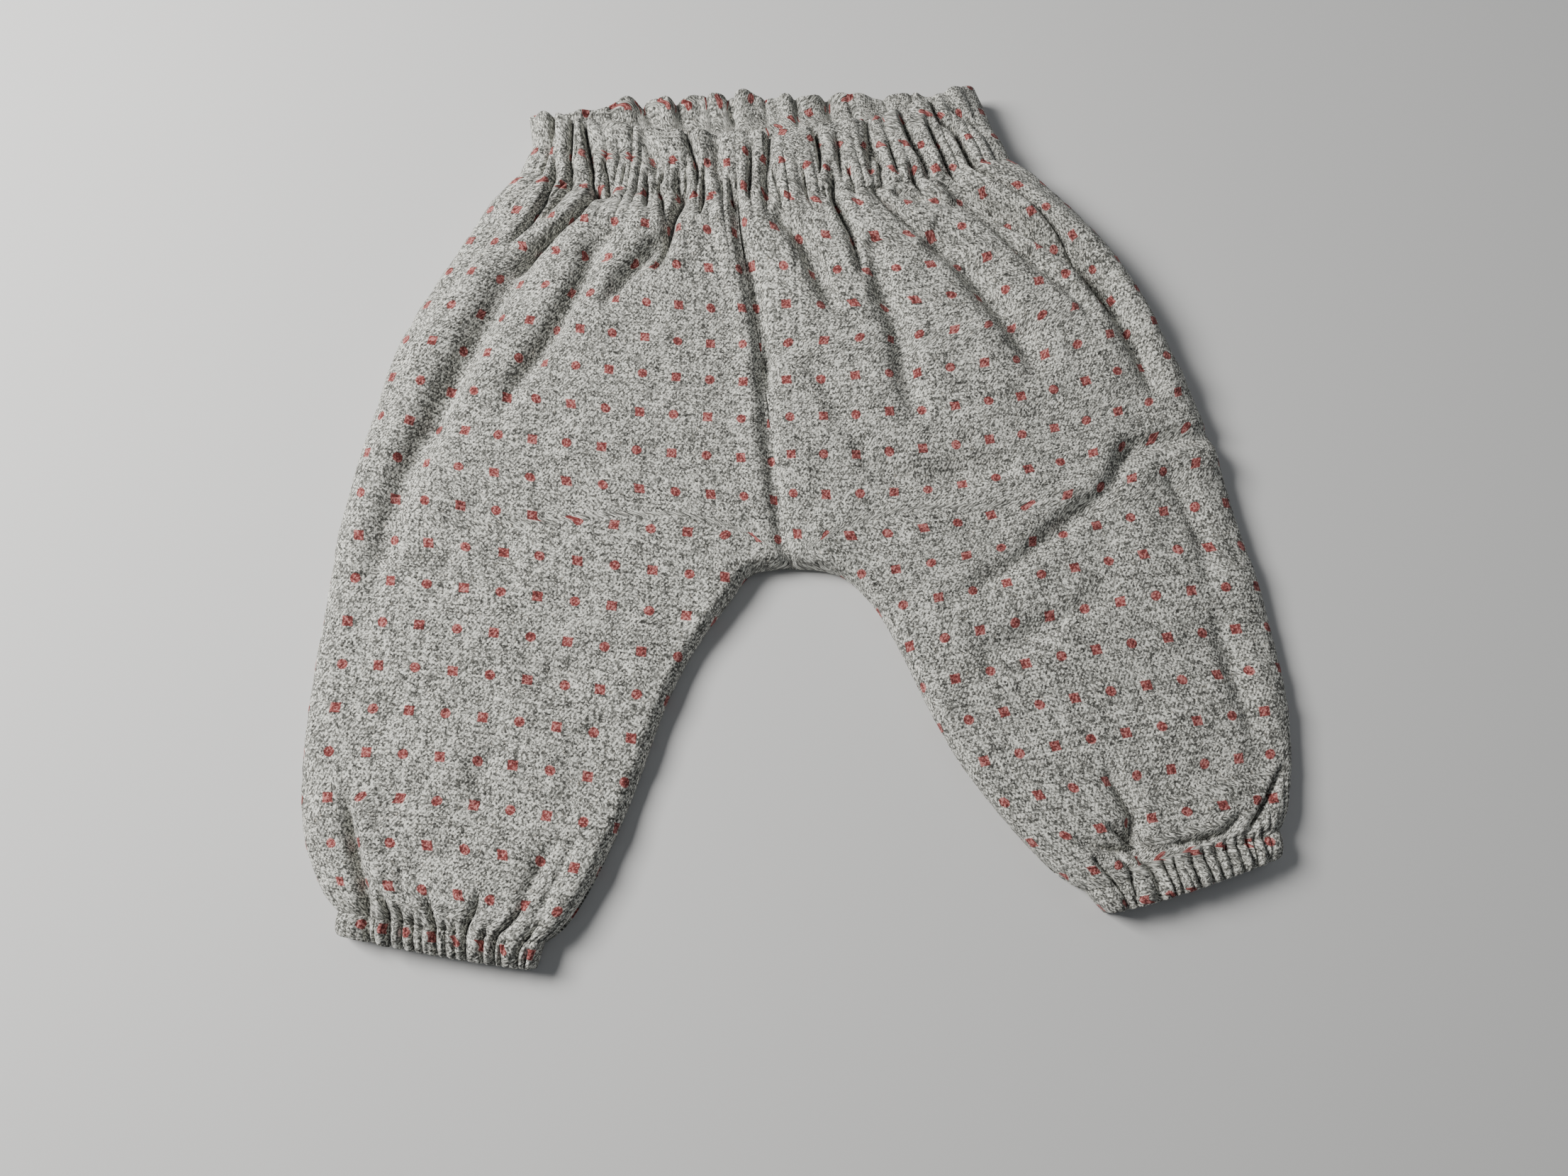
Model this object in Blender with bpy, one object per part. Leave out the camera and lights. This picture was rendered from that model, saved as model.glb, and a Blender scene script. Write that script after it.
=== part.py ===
"""Baby harem trousers in woven flannel, laid flat on a table with the front up.

Two halves, each cut in one piece from the centre front round the side to the
centre back, meet at the centre seams and along the arched inseam.  Above them
sit the gathered elastic channel and its frill, below them the two gathered
ankle cuffs.  Each is a cloth wall, hollow as it is worn, and the back layer
lies flat on z = 0.

Tables are in millimetres, measured from the crotch point in plan: x to the
right as seen, y towards the waist.  "Left" and "right" are as seen.
"""
import math
from collections import namedtuple

import bpy
import numpy as np

MM = 0.001

# ---------------------------------------------------------------- driving sizes, mm
CROTCH_X = -1.97              # crotch point in the part's frame, whose origin is
CROTCH_Y = -28.34             # under the middle of the garment
WALL = 1.4                    # one layer of brushed flannel with its nap
FRILL_WALL = 2.4              # the frill is the cloth turned over on itself
SEAM_GAP = 0.3

SIDE_ROUND = 19.0             # plan width over which the front rises at the side fold
SIDE_ROUND_BACK = 9.0
SIDE_TIP = 0.38               # height of the side fold's tip, as a share of the height
INSEAM_ROUND = 17.0
INSEAM_ROUND_BACK = 6.0
INSEAM_TIP = 2.9
CROWN = 0.10                  # how much lower the cloth lies away from the middle

LEFT_FOLDS = 8                # folds below the channel on the front of each half
RIGHT_FOLDS = 10
CHANNEL_GATHERS_PER_FOLD = 2
CUFF_GATHERS = 17             # on the front of a cuff, and as many on its back
FRONT_COLUMNS = 4             # points across each fold, frill wave and gather
BACK_COLUMNS = 2
FRILL_COLUMNS = 5
GATHER_COLUMNS = 3

FOLD_DEPTH = 1.5              # half the height of a fold from valley to crest
FOLD_REACH = 26.0             # how far the middling fold runs down from the channel
ANKLE_DEPTH = 1.2
ANKLE_REACH = 13.0
CHANNEL_DEPTHS = (0.9, 1.0, 0.9)          # gathers at the courses of each ring
CUFF_DEPTHS = (0.9, 1.0, 0.9)
FRILL_FRONT_DEPTHS = (0.9, 1.3, 1.7)
FRILL_BACK_DEPTHS = (0.9, 1.4, 2.0)
CUFF_BULGE = 0.8              # the cuff is this much higher in its middle

SIDE_CROWDING = 0.72          # how far the columns are drawn to the two edges of a section
CROWDING_START = 60.0         # and how far below the channel they are fully drawn
LONG_UNEVEN = 0.010           # gathers run wider and narrower in three long waves
SHORT_UNEVEN = 0.006          # and in seven short ones, as shares of the section

# The body, from the channel down to the crotch: the front end of the centre seam, how
# much nearer the waist the back layer lies, the tips of the two side folds, the height,
# how sharply a section bends up to the side fold, and its bow towards the waist.
Body = namedtuple("Body", "name seam_x seam_y lift left_x left_y right_x right_y height bend bow")
BODY = [
    Body("channel_seam", -20.7, 143.5, 22.0, -106.0, 157.0, 86.5, 163.0, 17.4, 2.4, 0),
    Body("gathers", -20.3, 138.0, 21.0, -110.5, 151.5, 93.5, 157.5, 18.6, 2.4, 0),
    Body("flare", -19.6, 130.5, 20.0, -116.0, 144.0, 100.5, 150.0, 18.8, 2.3, 0),
    Body("high_hip", -18.0, 119.5, 18.0, -122.5, 133.0, 110.0, 140.0, 18.2, 2.2, 0),
    Body("hip", -15.5, 104.0, 15.5, -132.0, 116.0, 120.5, 126.5, 17.6, 2.1, 0),
    Body("low_hip", -12.5, 86.0, 12.5, -141.5, 98.5, 130.0, 110.0, 17.0, 2.0, 0),
    Body("seat", -9.8, 67.0, 9.5, -149.2, 79.5, 138.5, 92.0, 16.4, 1.8, 12),
    Body("low_seat", -7.4, 47.5, 6.5, -154.2, 59.0, 146.3, 74.0, 15.6, 1.7, 30),
    Body("rise", -5.0, 29.5, 4.0, -158.6, 40.5, 151.6, 57.5, 14.6, 1.6, 60),
    Body("low_rise", -2.6, 14.0, 2.0, -161.2, 28.5, 155.2, 45.0, 13.6, 1.5, 95),
    Body("crotch", 0.0, 0.0, 0.0, -162.8, 20.0, 158.2, 33.0, 12.8, 1.5, 130),
]

# A leg, from the crotch down to the cuff: the inseam edge and the tip of the side fold.
Leg = namedtuple("Leg", "name inseam_x inseam_y side_x side_y height bend bow")
LEFT_LEG = [
    Leg("arch", -9.0, -0.4, -163.9, 13.5, 12.4, 1.5, 125),
    Leg("arch_turn", -16.0, -3.6, -164.5, 7.0, 12.0, 1.4, 105),
    Leg("arch_end", -22.0, -12.0, -165.1, -1.5, 11.6, 1.4, 80),
    Leg("thigh", -30.0, -23.0, -166.2, -12.5, 11.2, 1.3, 45),
    Leg("low_thigh", -38.2, -36.5, -167.4, -26.0, 10.8, 1.3, 20),
    Leg("knee", -45.4, -53.0, -168.6, -42.0, 10.6, 1.2, 5),
    Leg("shin", -51.5, -71.5, -169.3, -59.5, 10.6, 1.2, 0),
    Leg("calf", -57.7, -88.7, -169.0, -76.0, 10.8, 1.2, 0),
    Leg("puff", -64.5, -104.5, -167.0, -91.5, 11.4, 1.2, 0),
    Leg("tuck", -71.0, -117.0, -162.6, -105.0, 11.8, 1.2, 0),
    Leg("ankle_gathers", -76.8, -125.2, -157.6, -113.8, 12.2, 1.2, 0),
    Leg("cuff_seam", -82.0, -129.3, -152.8, -118.8, 11.4, 1.2, 0),
]
RIGHT_LEG = [
    Leg("arch", 10.0, -0.6, 160.0, 24.0, 12.4, 1.5, 120),
    Leg("arch_turn", 17.5, -2.8, 161.6, 16.5, 12.0, 1.4, 100),
    Leg("arch_end", 24.5, -8.4, 163.6, 9.0, 11.6, 1.4, 75),
    Leg("thigh", 32.0, -18.0, 166.3, -1.0, 11.2, 1.3, 45),
    Leg("low_thigh", 39.5, -32.5, 169.0, -14.0, 10.8, 1.3, 20),
    Leg("knee", 47.8, -50.5, 171.4, -29.5, 10.6, 1.2, 5),
    Leg("shin", 56.3, -66.6, 173.2, -45.5, 10.6, 1.2, 0),
    Leg("calf", 66.0, -81.0, 173.3, -60.0, 10.8, 1.2, 0),
    Leg("puff", 77.5, -95.5, 172.2, -73.0, 11.6, 1.2, 0),
    Leg("tuck", 87.0, -105.5, 170.4, -82.5, 12.2, 1.2, 0),
    Leg("ankle_gathers", 93.5, -110.2, 168.4, -88.2, 12.4, 1.2, 0),
    Leg("cuff_seam", 98.3, -112.6, 166.4, -92.0, 11.6, 1.2, 0),
]
LEFT_HEM = Leg("hem", -84.4, -138.2, -153.2, -126.8, 11.4, 1.2, 0)
RIGHT_HEM = Leg("hem", 104.4, -120.4, 166.8, -101.4, 11.8, 1.2, 0)

CHANNEL_MID = Body("channel_middle", -21.2, 150.5, 22.0, -103.6, 162.5, 83.6, 169.0, 18.2, 2.4, 0)
CHANNEL_TOP = Body("frill_seam", -21.6, 157.4, 22.0, -101.6, 168.0, 80.6, 175.5, 17.6, 2.4, 0)
FRILL_MID = Body("frill_middle", -21.9, 163.4, 22.5, -102.2, 174.5, 77.0, 185.5, 18.6, 2.4, 0)
FRILL_TOP = Body("frill_edge", -22.1, 169.6, 23.5, -103.2, 181.0, 73.0, 195.0, 19.4, 2.4, 0)

# The largest folds of the front, each a trough through three points in plan
# (a ridge where the depth is negative).
Fold = namedtuple("Fold", "name x1 y1 x2 y2 x3 y3 width depth")
FOLDS = [
    Fold("centre_seam", -21.0, 146.0, -13.0, 100.0, -3.0, 12.0, 6.0, 1.6),
    Fold("left_hip_valley", -74.0, 147.0, -86.0, 131.0, -106.0, 108.0, 6.5, 3.4),
    Fold("left_side_valley", -91.0, 153.0, -99.0, 139.0, -112.0, 121.0, 6.0, 2.2),
    Fold("left_front_crease", -49.4, 146.0, -47.7, 130.6, -52.0, 112.0, 6.0, 2.6),
    Fold("left_leg_valley", -121.0, 80.0, -139.0, 36.0, -151.0, -18.0, 9.0, 1.8),
    Fold("right_front_crease", 16.4, 148.0, 20.0, 133.0, 27.0, 108.0, 6.0, 2.2),
    Fold("right_hip_crease", 30.6, 148.0, 37.0, 137.0, 48.0, 126.0, 6.0, 2.2),
    Fold("right_side_valley", 64.0, 154.0, 96.0, 132.0, 131.0, 72.0, 7.5, 2.6),
    Fold("right_side_ridge", 58.0, 147.0, 70.0, 139.0, 84.0, 125.0, 7.0, -1.4),
    Fold("right_leg_fold", 146.0, 50.0, 104.0, 25.0, 52.0, -14.0, 8.0, 3.2),
    Fold("right_leg_ridge", 146.0, 38.0, 108.0, 12.0, 60.0, -24.0, 9.0, -1.6),
    Fold("right_leg_soft_fold", 128.0, -8.0, 105.0, -17.0, 78.0, -28.0, 8.0, 1.4),
    Fold("left_cuff_valley", -155.0, -62.0, -149.0, -90.0, -142.0, -120.0, 6.0, 2.4),
    Fold("right_cuff_valley", 106.0, -70.0, 114.5, -86.0, 122.0, -104.0, 6.0, 2.6),
    Fold("right_cuff_corner", 168.0, -72.0, 161.0, -85.0, 152.0, -96.0, 6.0, 2.2),
]
FOLD_SAMPLES = 9              # points along a fold's curve
FOLD_END = 0.04               # share of a fold's length at which its depth stops shrinking
FOLD_FADE = 0.6               # how bluntly it dies out
FLAT_CREST = 0.2              # height of a gather's wave above which the table flattens it

SHARP_EDGE_DEGREES = 40.0
FAR = 1000.0
ON_LINE = 0.02
TINY = 1e-6


# ---------------------------------------------------------------- plan geometry
def nearest_on_path(points, path):
    """For each plan point: distance to a polyline, unit vector away from it, share along it.

    The vector of a point on the line itself is the line's left-hand normal.
    """
    start, end = path[:-1], path[1:]
    run = end - start
    length = np.linalg.norm(run, axis=1)
    offset = points[:, None, :] - start[None, :, :]
    share = np.clip((offset * run).sum(axis=2) / length ** 2, 0.0, 1.0)
    away = offset - share[:, :, None] * run
    distances = np.linalg.norm(away, axis=2)
    best = distances.argmin(axis=1)
    rows = np.arange(len(points))
    distance = distances[rows, best]
    direction = away[rows, best] / np.maximum(distance, TINY)[:, None]
    left_normal = np.stack([-run[:, 1], run[:, 0]], axis=1) / length[:, None]
    on_line = distance < ON_LINE
    direction[on_line] = left_normal[best[on_line]]
    along = (best + share[rows, best]) / len(run)
    return distance, direction, along


def round_angle(distance, width):
    """Angle round a folded edge: 0 at its tip, 90 degrees once clear of it."""
    return np.arccos(1.0 - np.clip(distance / width, 0.0, 1.0))


def fold_path(fold):
    """Parabola through a fold's three points."""
    t = np.linspace(0.0, 1.0, FOLD_SAMPLES)[:, None]
    first = np.array([[fold.x1, fold.y1]])
    middle = np.array([[fold.x2, fold.y2]])
    last = np.array([[fold.x3, fold.y3]])
    return first * (1 - t) * (1 - 2 * t) + middle * 4 * t * (1 - t) + last * t * (2 * t - 1)


def fold_relief(plan):
    """The named folds at a grid of plan points: rounded troughs that die out at their ends."""
    points = plan.reshape(-1, 2)
    relief = np.zeros(len(points))
    for fold in FOLDS:
        distance, _, along = nearest_on_path(points, fold_path(fold))
        fade = np.sin(math.pi * np.clip(along, FOLD_END, 1.0 - FOLD_END)) ** FOLD_FADE
        relief -= fold.depth * fade * np.exp(-(distance / fold.width) ** 2)
    return relief.reshape(plan.shape[:2])


# ---------------------------------------------------------------- gathers
def uneven(x):
    """Share across a section, with the gathers wider here and narrower there."""
    long_waves = np.sin(2 * math.pi * 3 * x)
    short_waves = np.sin(2 * math.pi * 7 * x + 1.0) - math.sin(1.0)
    return x + LONG_UNEVEN * long_waves + SHORT_UNEVEN * short_waves


def gather_wave(x, count, seed):
    """Round crests (+1) and narrow valleys (-1), each gather with its own strength."""
    phase = x * count
    gather = np.floor(phase + TINY)
    strength = 1.0 + 0.28 * np.sin(2.3 * gather + seed) + 0.12 * np.sin(5.9 * gather + seed)
    return strength * (2.0 * np.abs(np.sin(math.pi * phase)) ** 0.8 - 1.0)


def fold_fade(away, x, count, seed, reach):
    """How much of each fold is left at a distance from its gathered seam.

    The folds are of uneven length, from a third of the usual reach to twice it.
    """
    fold = np.floor(x * count + TINY)
    own = reach * (1.15 + 0.55 * np.sin(1.9 * fold + seed) + 0.3 * np.sin(4.7 * fold + 2 * seed))
    return np.exp(-(np.maximum(away, 0.0)[:, None] / own[None, :]) ** 1.5)


# ---------------------------------------------------------------- one layer of cloth
Sections = namedtuple("Sections", "inner side curve height")
Layer = namedtuple("Layer", "outer normal")


def column(table, *names):
    """Named columns of a table as an array."""
    values = np.array([[getattr(row, name) for name in names] for row in table], dtype=float)
    return values[:, 0] if len(names) == 1 else values


def crowd(x, crowding):
    """Columns drawn towards both ends of a section, where its edges turn."""
    return x - crowding * np.sin(2 * math.pi * x) / (2 * math.pi)


def section_plan(sections, q):
    """Plan points of the sections: straight in x; in y a bend to the side fold and a bow."""
    inner, side = sections.inner, sections.side
    bend, bow = sections.curve[:, 0:1], sections.curve[:, 1:2]
    x = inner[:, 0:1] + (side[:, 0:1] - inner[:, 0:1]) * q
    y = inner[:, 1:2] + (side[:, 1:2] - inner[:, 1:2]) * q ** bend + bow * q * (1.0 - q) ** 3
    return np.stack([x, y], axis=2)


def inseam_edge(plan, inseam, upright_rows, q, width, toward_side):
    """Distance and direction from the inseam; upright rows measure along their section."""
    distance = np.full(q.shape, FAR)
    direction = np.zeros(plan.shape)
    if inseam is not None:
        near, away, _ = nearest_on_path(plan.reshape(-1, 2), inseam)
        distance = near.reshape(q.shape)
        direction = away.reshape(plan.shape)
    if upright_rows:
        distance[-upright_rows:] = (q * width)[-upright_rows:]
        direction[-upright_rows:] = toward_side[-upright_rows:, None, :]
    return distance, direction


def cloth_layer(sections, q, front, inseam=None, upright_rows=0, tip_gap=0.0):
    """Outer face and outward directions of a front or back layer.

    From the tip of each folded edge the front rises and the back sinks along a quarter
    ellipse, and the two edges' curves are multiplied.  The last upright_rows sections
    turn in their own upright plane, so that leg and cuff meet face to face.
    """
    plan = section_plan(sections, q)
    run = sections.side - sections.inner
    width = np.linalg.norm(run, axis=1)[:, None]
    toward_side = run / width
    inseam_distance, inseam_direction = inseam_edge(plan, inseam, upright_rows, q, width, toward_side)
    side_angle = round_angle((1.0 - q) * width, SIDE_ROUND if front else SIDE_ROUND_BACK)
    inseam_angle = round_angle(inseam_distance, INSEAM_ROUND if front else INSEAM_ROUND_BACK)
    rise = np.sin(side_angle) * np.sin(inseam_angle)
    height = sections.height[:, None]
    inseam_tip = INSEAM_TIP + tip_gap
    tip = inseam_tip + (SIDE_TIP * height - inseam_tip) * q
    if front:
        top = height * (1.0 - CROWN * (2.0 * q - 1.0) ** 2)
        z = tip + (top - tip) * rise
    else:
        z = tip * (1.0 - rise)
    sideways = np.cos(side_angle)[:, :, None] * toward_side[:, None, :] \
        - np.cos(inseam_angle)[:, :, None] * inseam_direction
    upwards = rise if front else -rise
    normal = np.concatenate([sideways, upwards[:, :, None]], axis=2)
    normal /= np.linalg.norm(normal, axis=2)[:, :, None]
    return Layer(np.concatenate([plan, z[:, :, None]], axis=2), normal)


def press(layer, relief):
    """Move a layer along its outward directions."""
    return Layer(layer.outer + layer.normal * relief[:, :, None], layer.normal)


def trim(layer, columns):
    """Some of a layer's columns, in a given order."""
    return Layer(layer.outer[:, columns], layer.normal[:, columns])


def wall_faces(layers, wall):
    """Outer and inner faces of layers that follow each other, none of it below the table."""
    outer = np.concatenate([layer.outer for layer in layers], axis=1)
    normal = np.concatenate([layer.normal for layer in layers], axis=1)
    inner = outer - normal * wall
    sunk = np.minimum(outer[:, :, 2], 0.0)
    outer[:, :, 2] -= sunk
    inner[:, :, 2] -= sunk
    return outer, inner


# ---------------------------------------------------------------- solids
def wall_triangles(rows, columns, closed):
    """Triangles of a cloth wall: outer face, inner face and the rims between them."""
    outer = np.arange(rows * columns).reshape(rows, columns)
    inner = outer + rows * columns
    here = np.arange(columns if closed else columns - 1)
    there = (here + 1) % columns

    def quads(a, b, c, d):
        first = np.stack([a, b, c], axis=-1).reshape(-1, 3)
        second = np.stack([a, c, d], axis=-1).reshape(-1, 3)
        return [first, second]

    faces = quads(outer[:-1][:, here], outer[:-1][:, there], outer[1:][:, there], outer[1:][:, here])
    faces += quads(inner[:-1][:, here], inner[1:][:, here], inner[1:][:, there], inner[:-1][:, there])
    faces += quads(outer[0, here], inner[0, here], inner[0, there], outer[0, there])
    faces += quads(outer[-1, here], outer[-1, there], inner[-1, there], inner[-1, here])
    if not closed:
        faces += quads(outer[:-1, 0], outer[1:, 0], inner[1:, 0], inner[:-1, 0])
        faces += quads(outer[:-1, -1], inner[:-1, -1], inner[1:, -1], outer[1:, -1])
    return np.concatenate(faces)


def cloth_object(name, layers, wall, closed, material):
    """One closed wall as an object, its faces turned outwards."""
    outer, inner = wall_faces(layers, wall)
    rows, columns = outer.shape[:2]
    points = np.concatenate([outer.reshape(-1, 3), inner.reshape(-1, 3)])
    points = (points + [CROTCH_X, CROTCH_Y, 0.0]) * MM
    triangles = wall_triangles(rows, columns, closed)
    corner = points[triangles]
    volume = np.einsum("ij,ij->i", corner[:, 0], np.cross(corner[:, 1], corner[:, 2])).sum()
    if volume < 0.0:
        triangles = triangles[:, ::-1]
    mesh = bpy.data.meshes.new(name)
    mesh.from_pydata(points.tolist(), [], triangles.tolist())
    mesh.materials.append(material)
    mesh.shade_smooth()
    mesh.set_sharp_from_angle(angle=math.radians(SHARP_EDGE_DEGREES))
    piece = bpy.data.objects.new(name, mesh)
    bpy.context.collection.objects.link(piece)
    return piece


def flannel(name, colour):
    """Plain grey melange flannel."""
    material = bpy.data.materials.new(name)
    material.use_nodes = True
    shader = material.node_tree.nodes["Principled BSDF"]
    shader.inputs["Base Color"].default_value = (*colour, 1.0)
    shader.inputs["Roughness"].default_value = 0.95
    shader.inputs["Metallic"].default_value = 0.0
    return material


# ---------------------------------------------------------------- pieces
def inseam_path():
    """The whole arch, from the left cuff over the crotch to the right cuff."""
    left = column(LEFT_LEG, "inseam_x", "inseam_y")[::-1]
    right = column(RIGHT_LEG, "inseam_x", "inseam_y")
    return np.concatenate([left, [[0.0, 0.0]], right])


def half_sections(side_names, leg, hand, back):
    """Sections of one half from the channel to the cuff, for its front or back layer."""
    seam = column(BODY, "seam_x", "seam_y") + [hand * SEAM_GAP / 2, 0.0]
    side = column(BODY, *side_names)
    seam[0, 1] -= SEAM_GAP
    side[0, 1] -= SEAM_GAP
    if back:
        seam[:, 1] += column(BODY, "lift")
    return Sections(
        inner=np.concatenate([seam, column(leg, "inseam_x", "inseam_y")]),
        side=np.concatenate([side, column(leg, "side_x", "side_y")]),
        curve=np.concatenate([column(BODY, "bend", "bow"), column(leg, "bend", "bow")]),
        height=np.concatenate([column(BODY, "height"), column(leg, "height")]))


def half_piece(name, side_names, leg, folds, hand, material):
    """One half: the body wraps from centre front to centre back, the leg is a tube.

    hand is -1 for the left half and +1 for the right one, and seeds its gathers.
    """
    front_sections = half_sections(side_names, leg, hand, back=False)
    back_sections = half_sections(side_names, leg, hand, back=True)
    inseam = inseam_path()
    seam_y = front_sections.inner[:, 1]
    drop = seam_y[0] - seam_y
    climb = seam_y - seam_y[-1]
    crowding = SIDE_CROWDING * np.clip(drop / CROWDING_START, 0.0, 1.0)[:, None]

    x = np.linspace(0.0, 1.0, folds * FRONT_COLUMNS + 1)
    q = crowd(uneven(x)[None, :], crowding)
    front = cloth_layer(front_sections, q, True, inseam, 1, SEAM_GAP / 2)
    depth = FOLD_DEPTH * fold_fade(drop, x, folds, hand, FOLD_REACH) \
        + ANKLE_DEPTH * fold_fade(climb, x, folds, hand + 2, ANKLE_REACH)
    width = np.linalg.norm(front_sections.side - front_sections.inner, axis=1)[:, None]
    from_edge = np.minimum(q, 1.0 - q) * width
    clear_of_edge = np.sin(round_angle(from_edge, INSEAM_ROUND_BACK))
    named = fold_relief(front.outer[:, :, :2]) * clear_of_edge
    front = press(front, gather_wave(x, folds, hand) * depth + named)

    x = np.linspace(1.0, 0.0, folds * BACK_COLUMNS + 1)[1:]
    q = crowd(x[None, :], crowding)
    back = cloth_layer(back_sections, q, False, inseam, 1, -SEAM_GAP / 2)
    depth = FOLD_DEPTH * fold_fade(drop, x, folds, hand + 4, FOLD_REACH) \
        + ANKLE_DEPTH * fold_fade(climb, x, folds, hand + 6, ANKLE_REACH)
    back = press(back, np.minimum(gather_wave(x, folds, hand + 4), 0.0) * depth)
    return cloth_object(name, [front, back], WALL, False, material)


def ring_quarter(courses, side_names, gathers, columns, depths, seed, front):
    """A quarter of a waist ring: front or back layer, from the centre to the side fold.

    On the back the crests lie flat on the table, more so towards the middle.
    """
    inner = column(courses, "seam_x", "seam_y")
    if not front:
        inner[:, 1] += column(courses, "lift")
    sections = Sections(inner, column(courses, *side_names), column(courses, "bend", "bow"),
                        column(courses, "height"))
    x = np.linspace(0.0, 1.0, gathers * columns + 1)
    layer = cloth_layer(sections, np.tile(uneven(x), (len(courses), 1)), front)
    wave = gather_wave(x, gathers, seed)
    if not front:
        wave = np.minimum(wave - FLAT_CREST, 0.0) * (1.0 - x) + wave * x
    return press(layer, wave[None, :] * np.array(depths)[:, None])


def ring_piece(name, courses, gathers_per_fold, columns, front_depths, back_depths, wall, material):
    """A closed waist ring of four quarters: front left, back left, back right, front right."""
    left = (("left_x", "left_y"), LEFT_FOLDS * gathers_per_fold, columns)
    right = (("right_x", "right_y"), RIGHT_FOLDS * gathers_per_fold, columns)
    outwards, inwards = slice(None, -1), slice(None, 0, -1)
    layers = [
        trim(ring_quarter(courses, *left, front_depths, -1, True), outwards),
        trim(ring_quarter(courses, *left, back_depths, -2, False), inwards),
        trim(ring_quarter(courses, *right, back_depths, 2, False), outwards),
        trim(ring_quarter(courses, *right, front_depths, 1, True), inwards),
    ]
    return cloth_object(name, layers, wall, True, material)


def cuff_piece(name, seam, hem, seed, material):
    """A gathered ankle casing: a closed ring with its back on the table."""
    middle = Leg("middle", *[(a + b) / 2 for a, b in zip(seam[1:], hem[1:])])
    courses = [seam, middle._replace(height=middle.height + CUFF_BULGE), hem]
    inner = column(courses, "inseam_x", "inseam_y")
    side = column(courses, "side_x", "side_y")
    down = inner[-1] + side[-1] - inner[0] - side[0]
    gap = SEAM_GAP * down / np.linalg.norm(down)
    inner[0] += gap
    side[0] += gap
    sections = Sections(inner, side, column(courses, "bend", "bow"), column(courses, "height"))
    x = np.linspace(0.0, 1.0, CUFF_GATHERS * GATHER_COLUMNS + 1)
    q = np.tile(uneven(x), (len(courses), 1))
    depths = np.array(CUFF_DEPTHS)[:, None]
    wave = gather_wave(x, CUFF_GATHERS, seed)[None, :]
    front = press(cloth_layer(sections, q, True, None, len(courses)), wave * depths)
    flat_wave = np.minimum(wave - FLAT_CREST, 0.0)
    back = press(cloth_layer(sections, q, False, None, len(courses)), flat_wave * depths)
    layers = [trim(front, slice(None, -1)), trim(back, slice(None, 0, -1))]
    return cloth_object(name, layers, WALL, True, material)


def main():
    for item in list(bpy.data.objects):
        bpy.data.objects.remove(item, do_unlink=True)
    cloth = flannel("grey_flannel", (0.31, 0.31, 0.30))
    casing = flannel("grey_flannel_casing", (0.28, 0.28, 0.275))
    half_piece("half_left", ("left_x", "left_y"), LEFT_LEG, LEFT_FOLDS, -1, cloth)
    half_piece("half_right", ("right_x", "right_y"), RIGHT_LEG, RIGHT_FOLDS, 1, cloth)
    ring_piece("waist_channel", [BODY[0], CHANNEL_MID, CHANNEL_TOP], CHANNEL_GATHERS_PER_FOLD,
               GATHER_COLUMNS, CHANNEL_DEPTHS, CHANNEL_DEPTHS, WALL, casing)
    frill_base = CHANNEL_TOP._replace(
        seam_y=CHANNEL_TOP.seam_y + SEAM_GAP,
        left_y=CHANNEL_TOP.left_y + SEAM_GAP,
        right_y=CHANNEL_TOP.right_y + SEAM_GAP)
    ring_piece("waist_frill", [frill_base, FRILL_MID, FRILL_TOP], 1,
               FRILL_COLUMNS, FRILL_FRONT_DEPTHS, FRILL_BACK_DEPTHS, FRILL_WALL, cloth)
    cuff_piece("cuff_left", LEFT_LEG[-1], LEFT_HEM, 0.5, casing)
    cuff_piece("cuff_right", RIGHT_LEG[-1], RIGHT_HEM, 1.5, casing)


main()
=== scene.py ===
"""Baby harem trousers in dotted grey flannel, laid flat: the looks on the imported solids.

Each piece of cloth is a thin shell worked out on a grid of two parameters: one runs
across a section from the centre seam (0) to the side fold (1), the other counts the
sections from the waist down.  Lengths in the tables and named values are in millimetres,
and points are measured from the crotch in plan: x to the right as seen, y towards the
waist, z up from the table.  The print is laid out in the cloth's own columns and rows.
"""
import math
from collections import namedtuple

import bpy
import numpy as np
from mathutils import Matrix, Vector


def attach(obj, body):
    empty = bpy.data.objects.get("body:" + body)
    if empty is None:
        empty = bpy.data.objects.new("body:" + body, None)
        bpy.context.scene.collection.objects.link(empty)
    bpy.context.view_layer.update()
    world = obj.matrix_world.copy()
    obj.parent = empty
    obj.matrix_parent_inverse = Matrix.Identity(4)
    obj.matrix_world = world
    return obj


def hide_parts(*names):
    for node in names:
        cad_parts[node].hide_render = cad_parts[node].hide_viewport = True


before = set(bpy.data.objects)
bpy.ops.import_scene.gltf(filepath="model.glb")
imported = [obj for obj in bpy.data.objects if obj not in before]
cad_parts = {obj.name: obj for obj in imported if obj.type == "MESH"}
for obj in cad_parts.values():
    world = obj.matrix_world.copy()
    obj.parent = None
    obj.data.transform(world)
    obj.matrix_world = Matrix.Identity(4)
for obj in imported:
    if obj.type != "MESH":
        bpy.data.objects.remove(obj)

bl_info = {
    "name": "Baby harem trousers",
    "version": (1, 0, 0),
    "blender": (4, 5, 0),
    "location": "View3D > Sidebar > Trousers",
    "description": "Dotted flannel harem trousers, laid flat on a table",
    "category": "Object",
}

MM = 0.001
CROTCH = (-1.97, -28.34, 0.0)  # the crotch point in the frame

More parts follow.
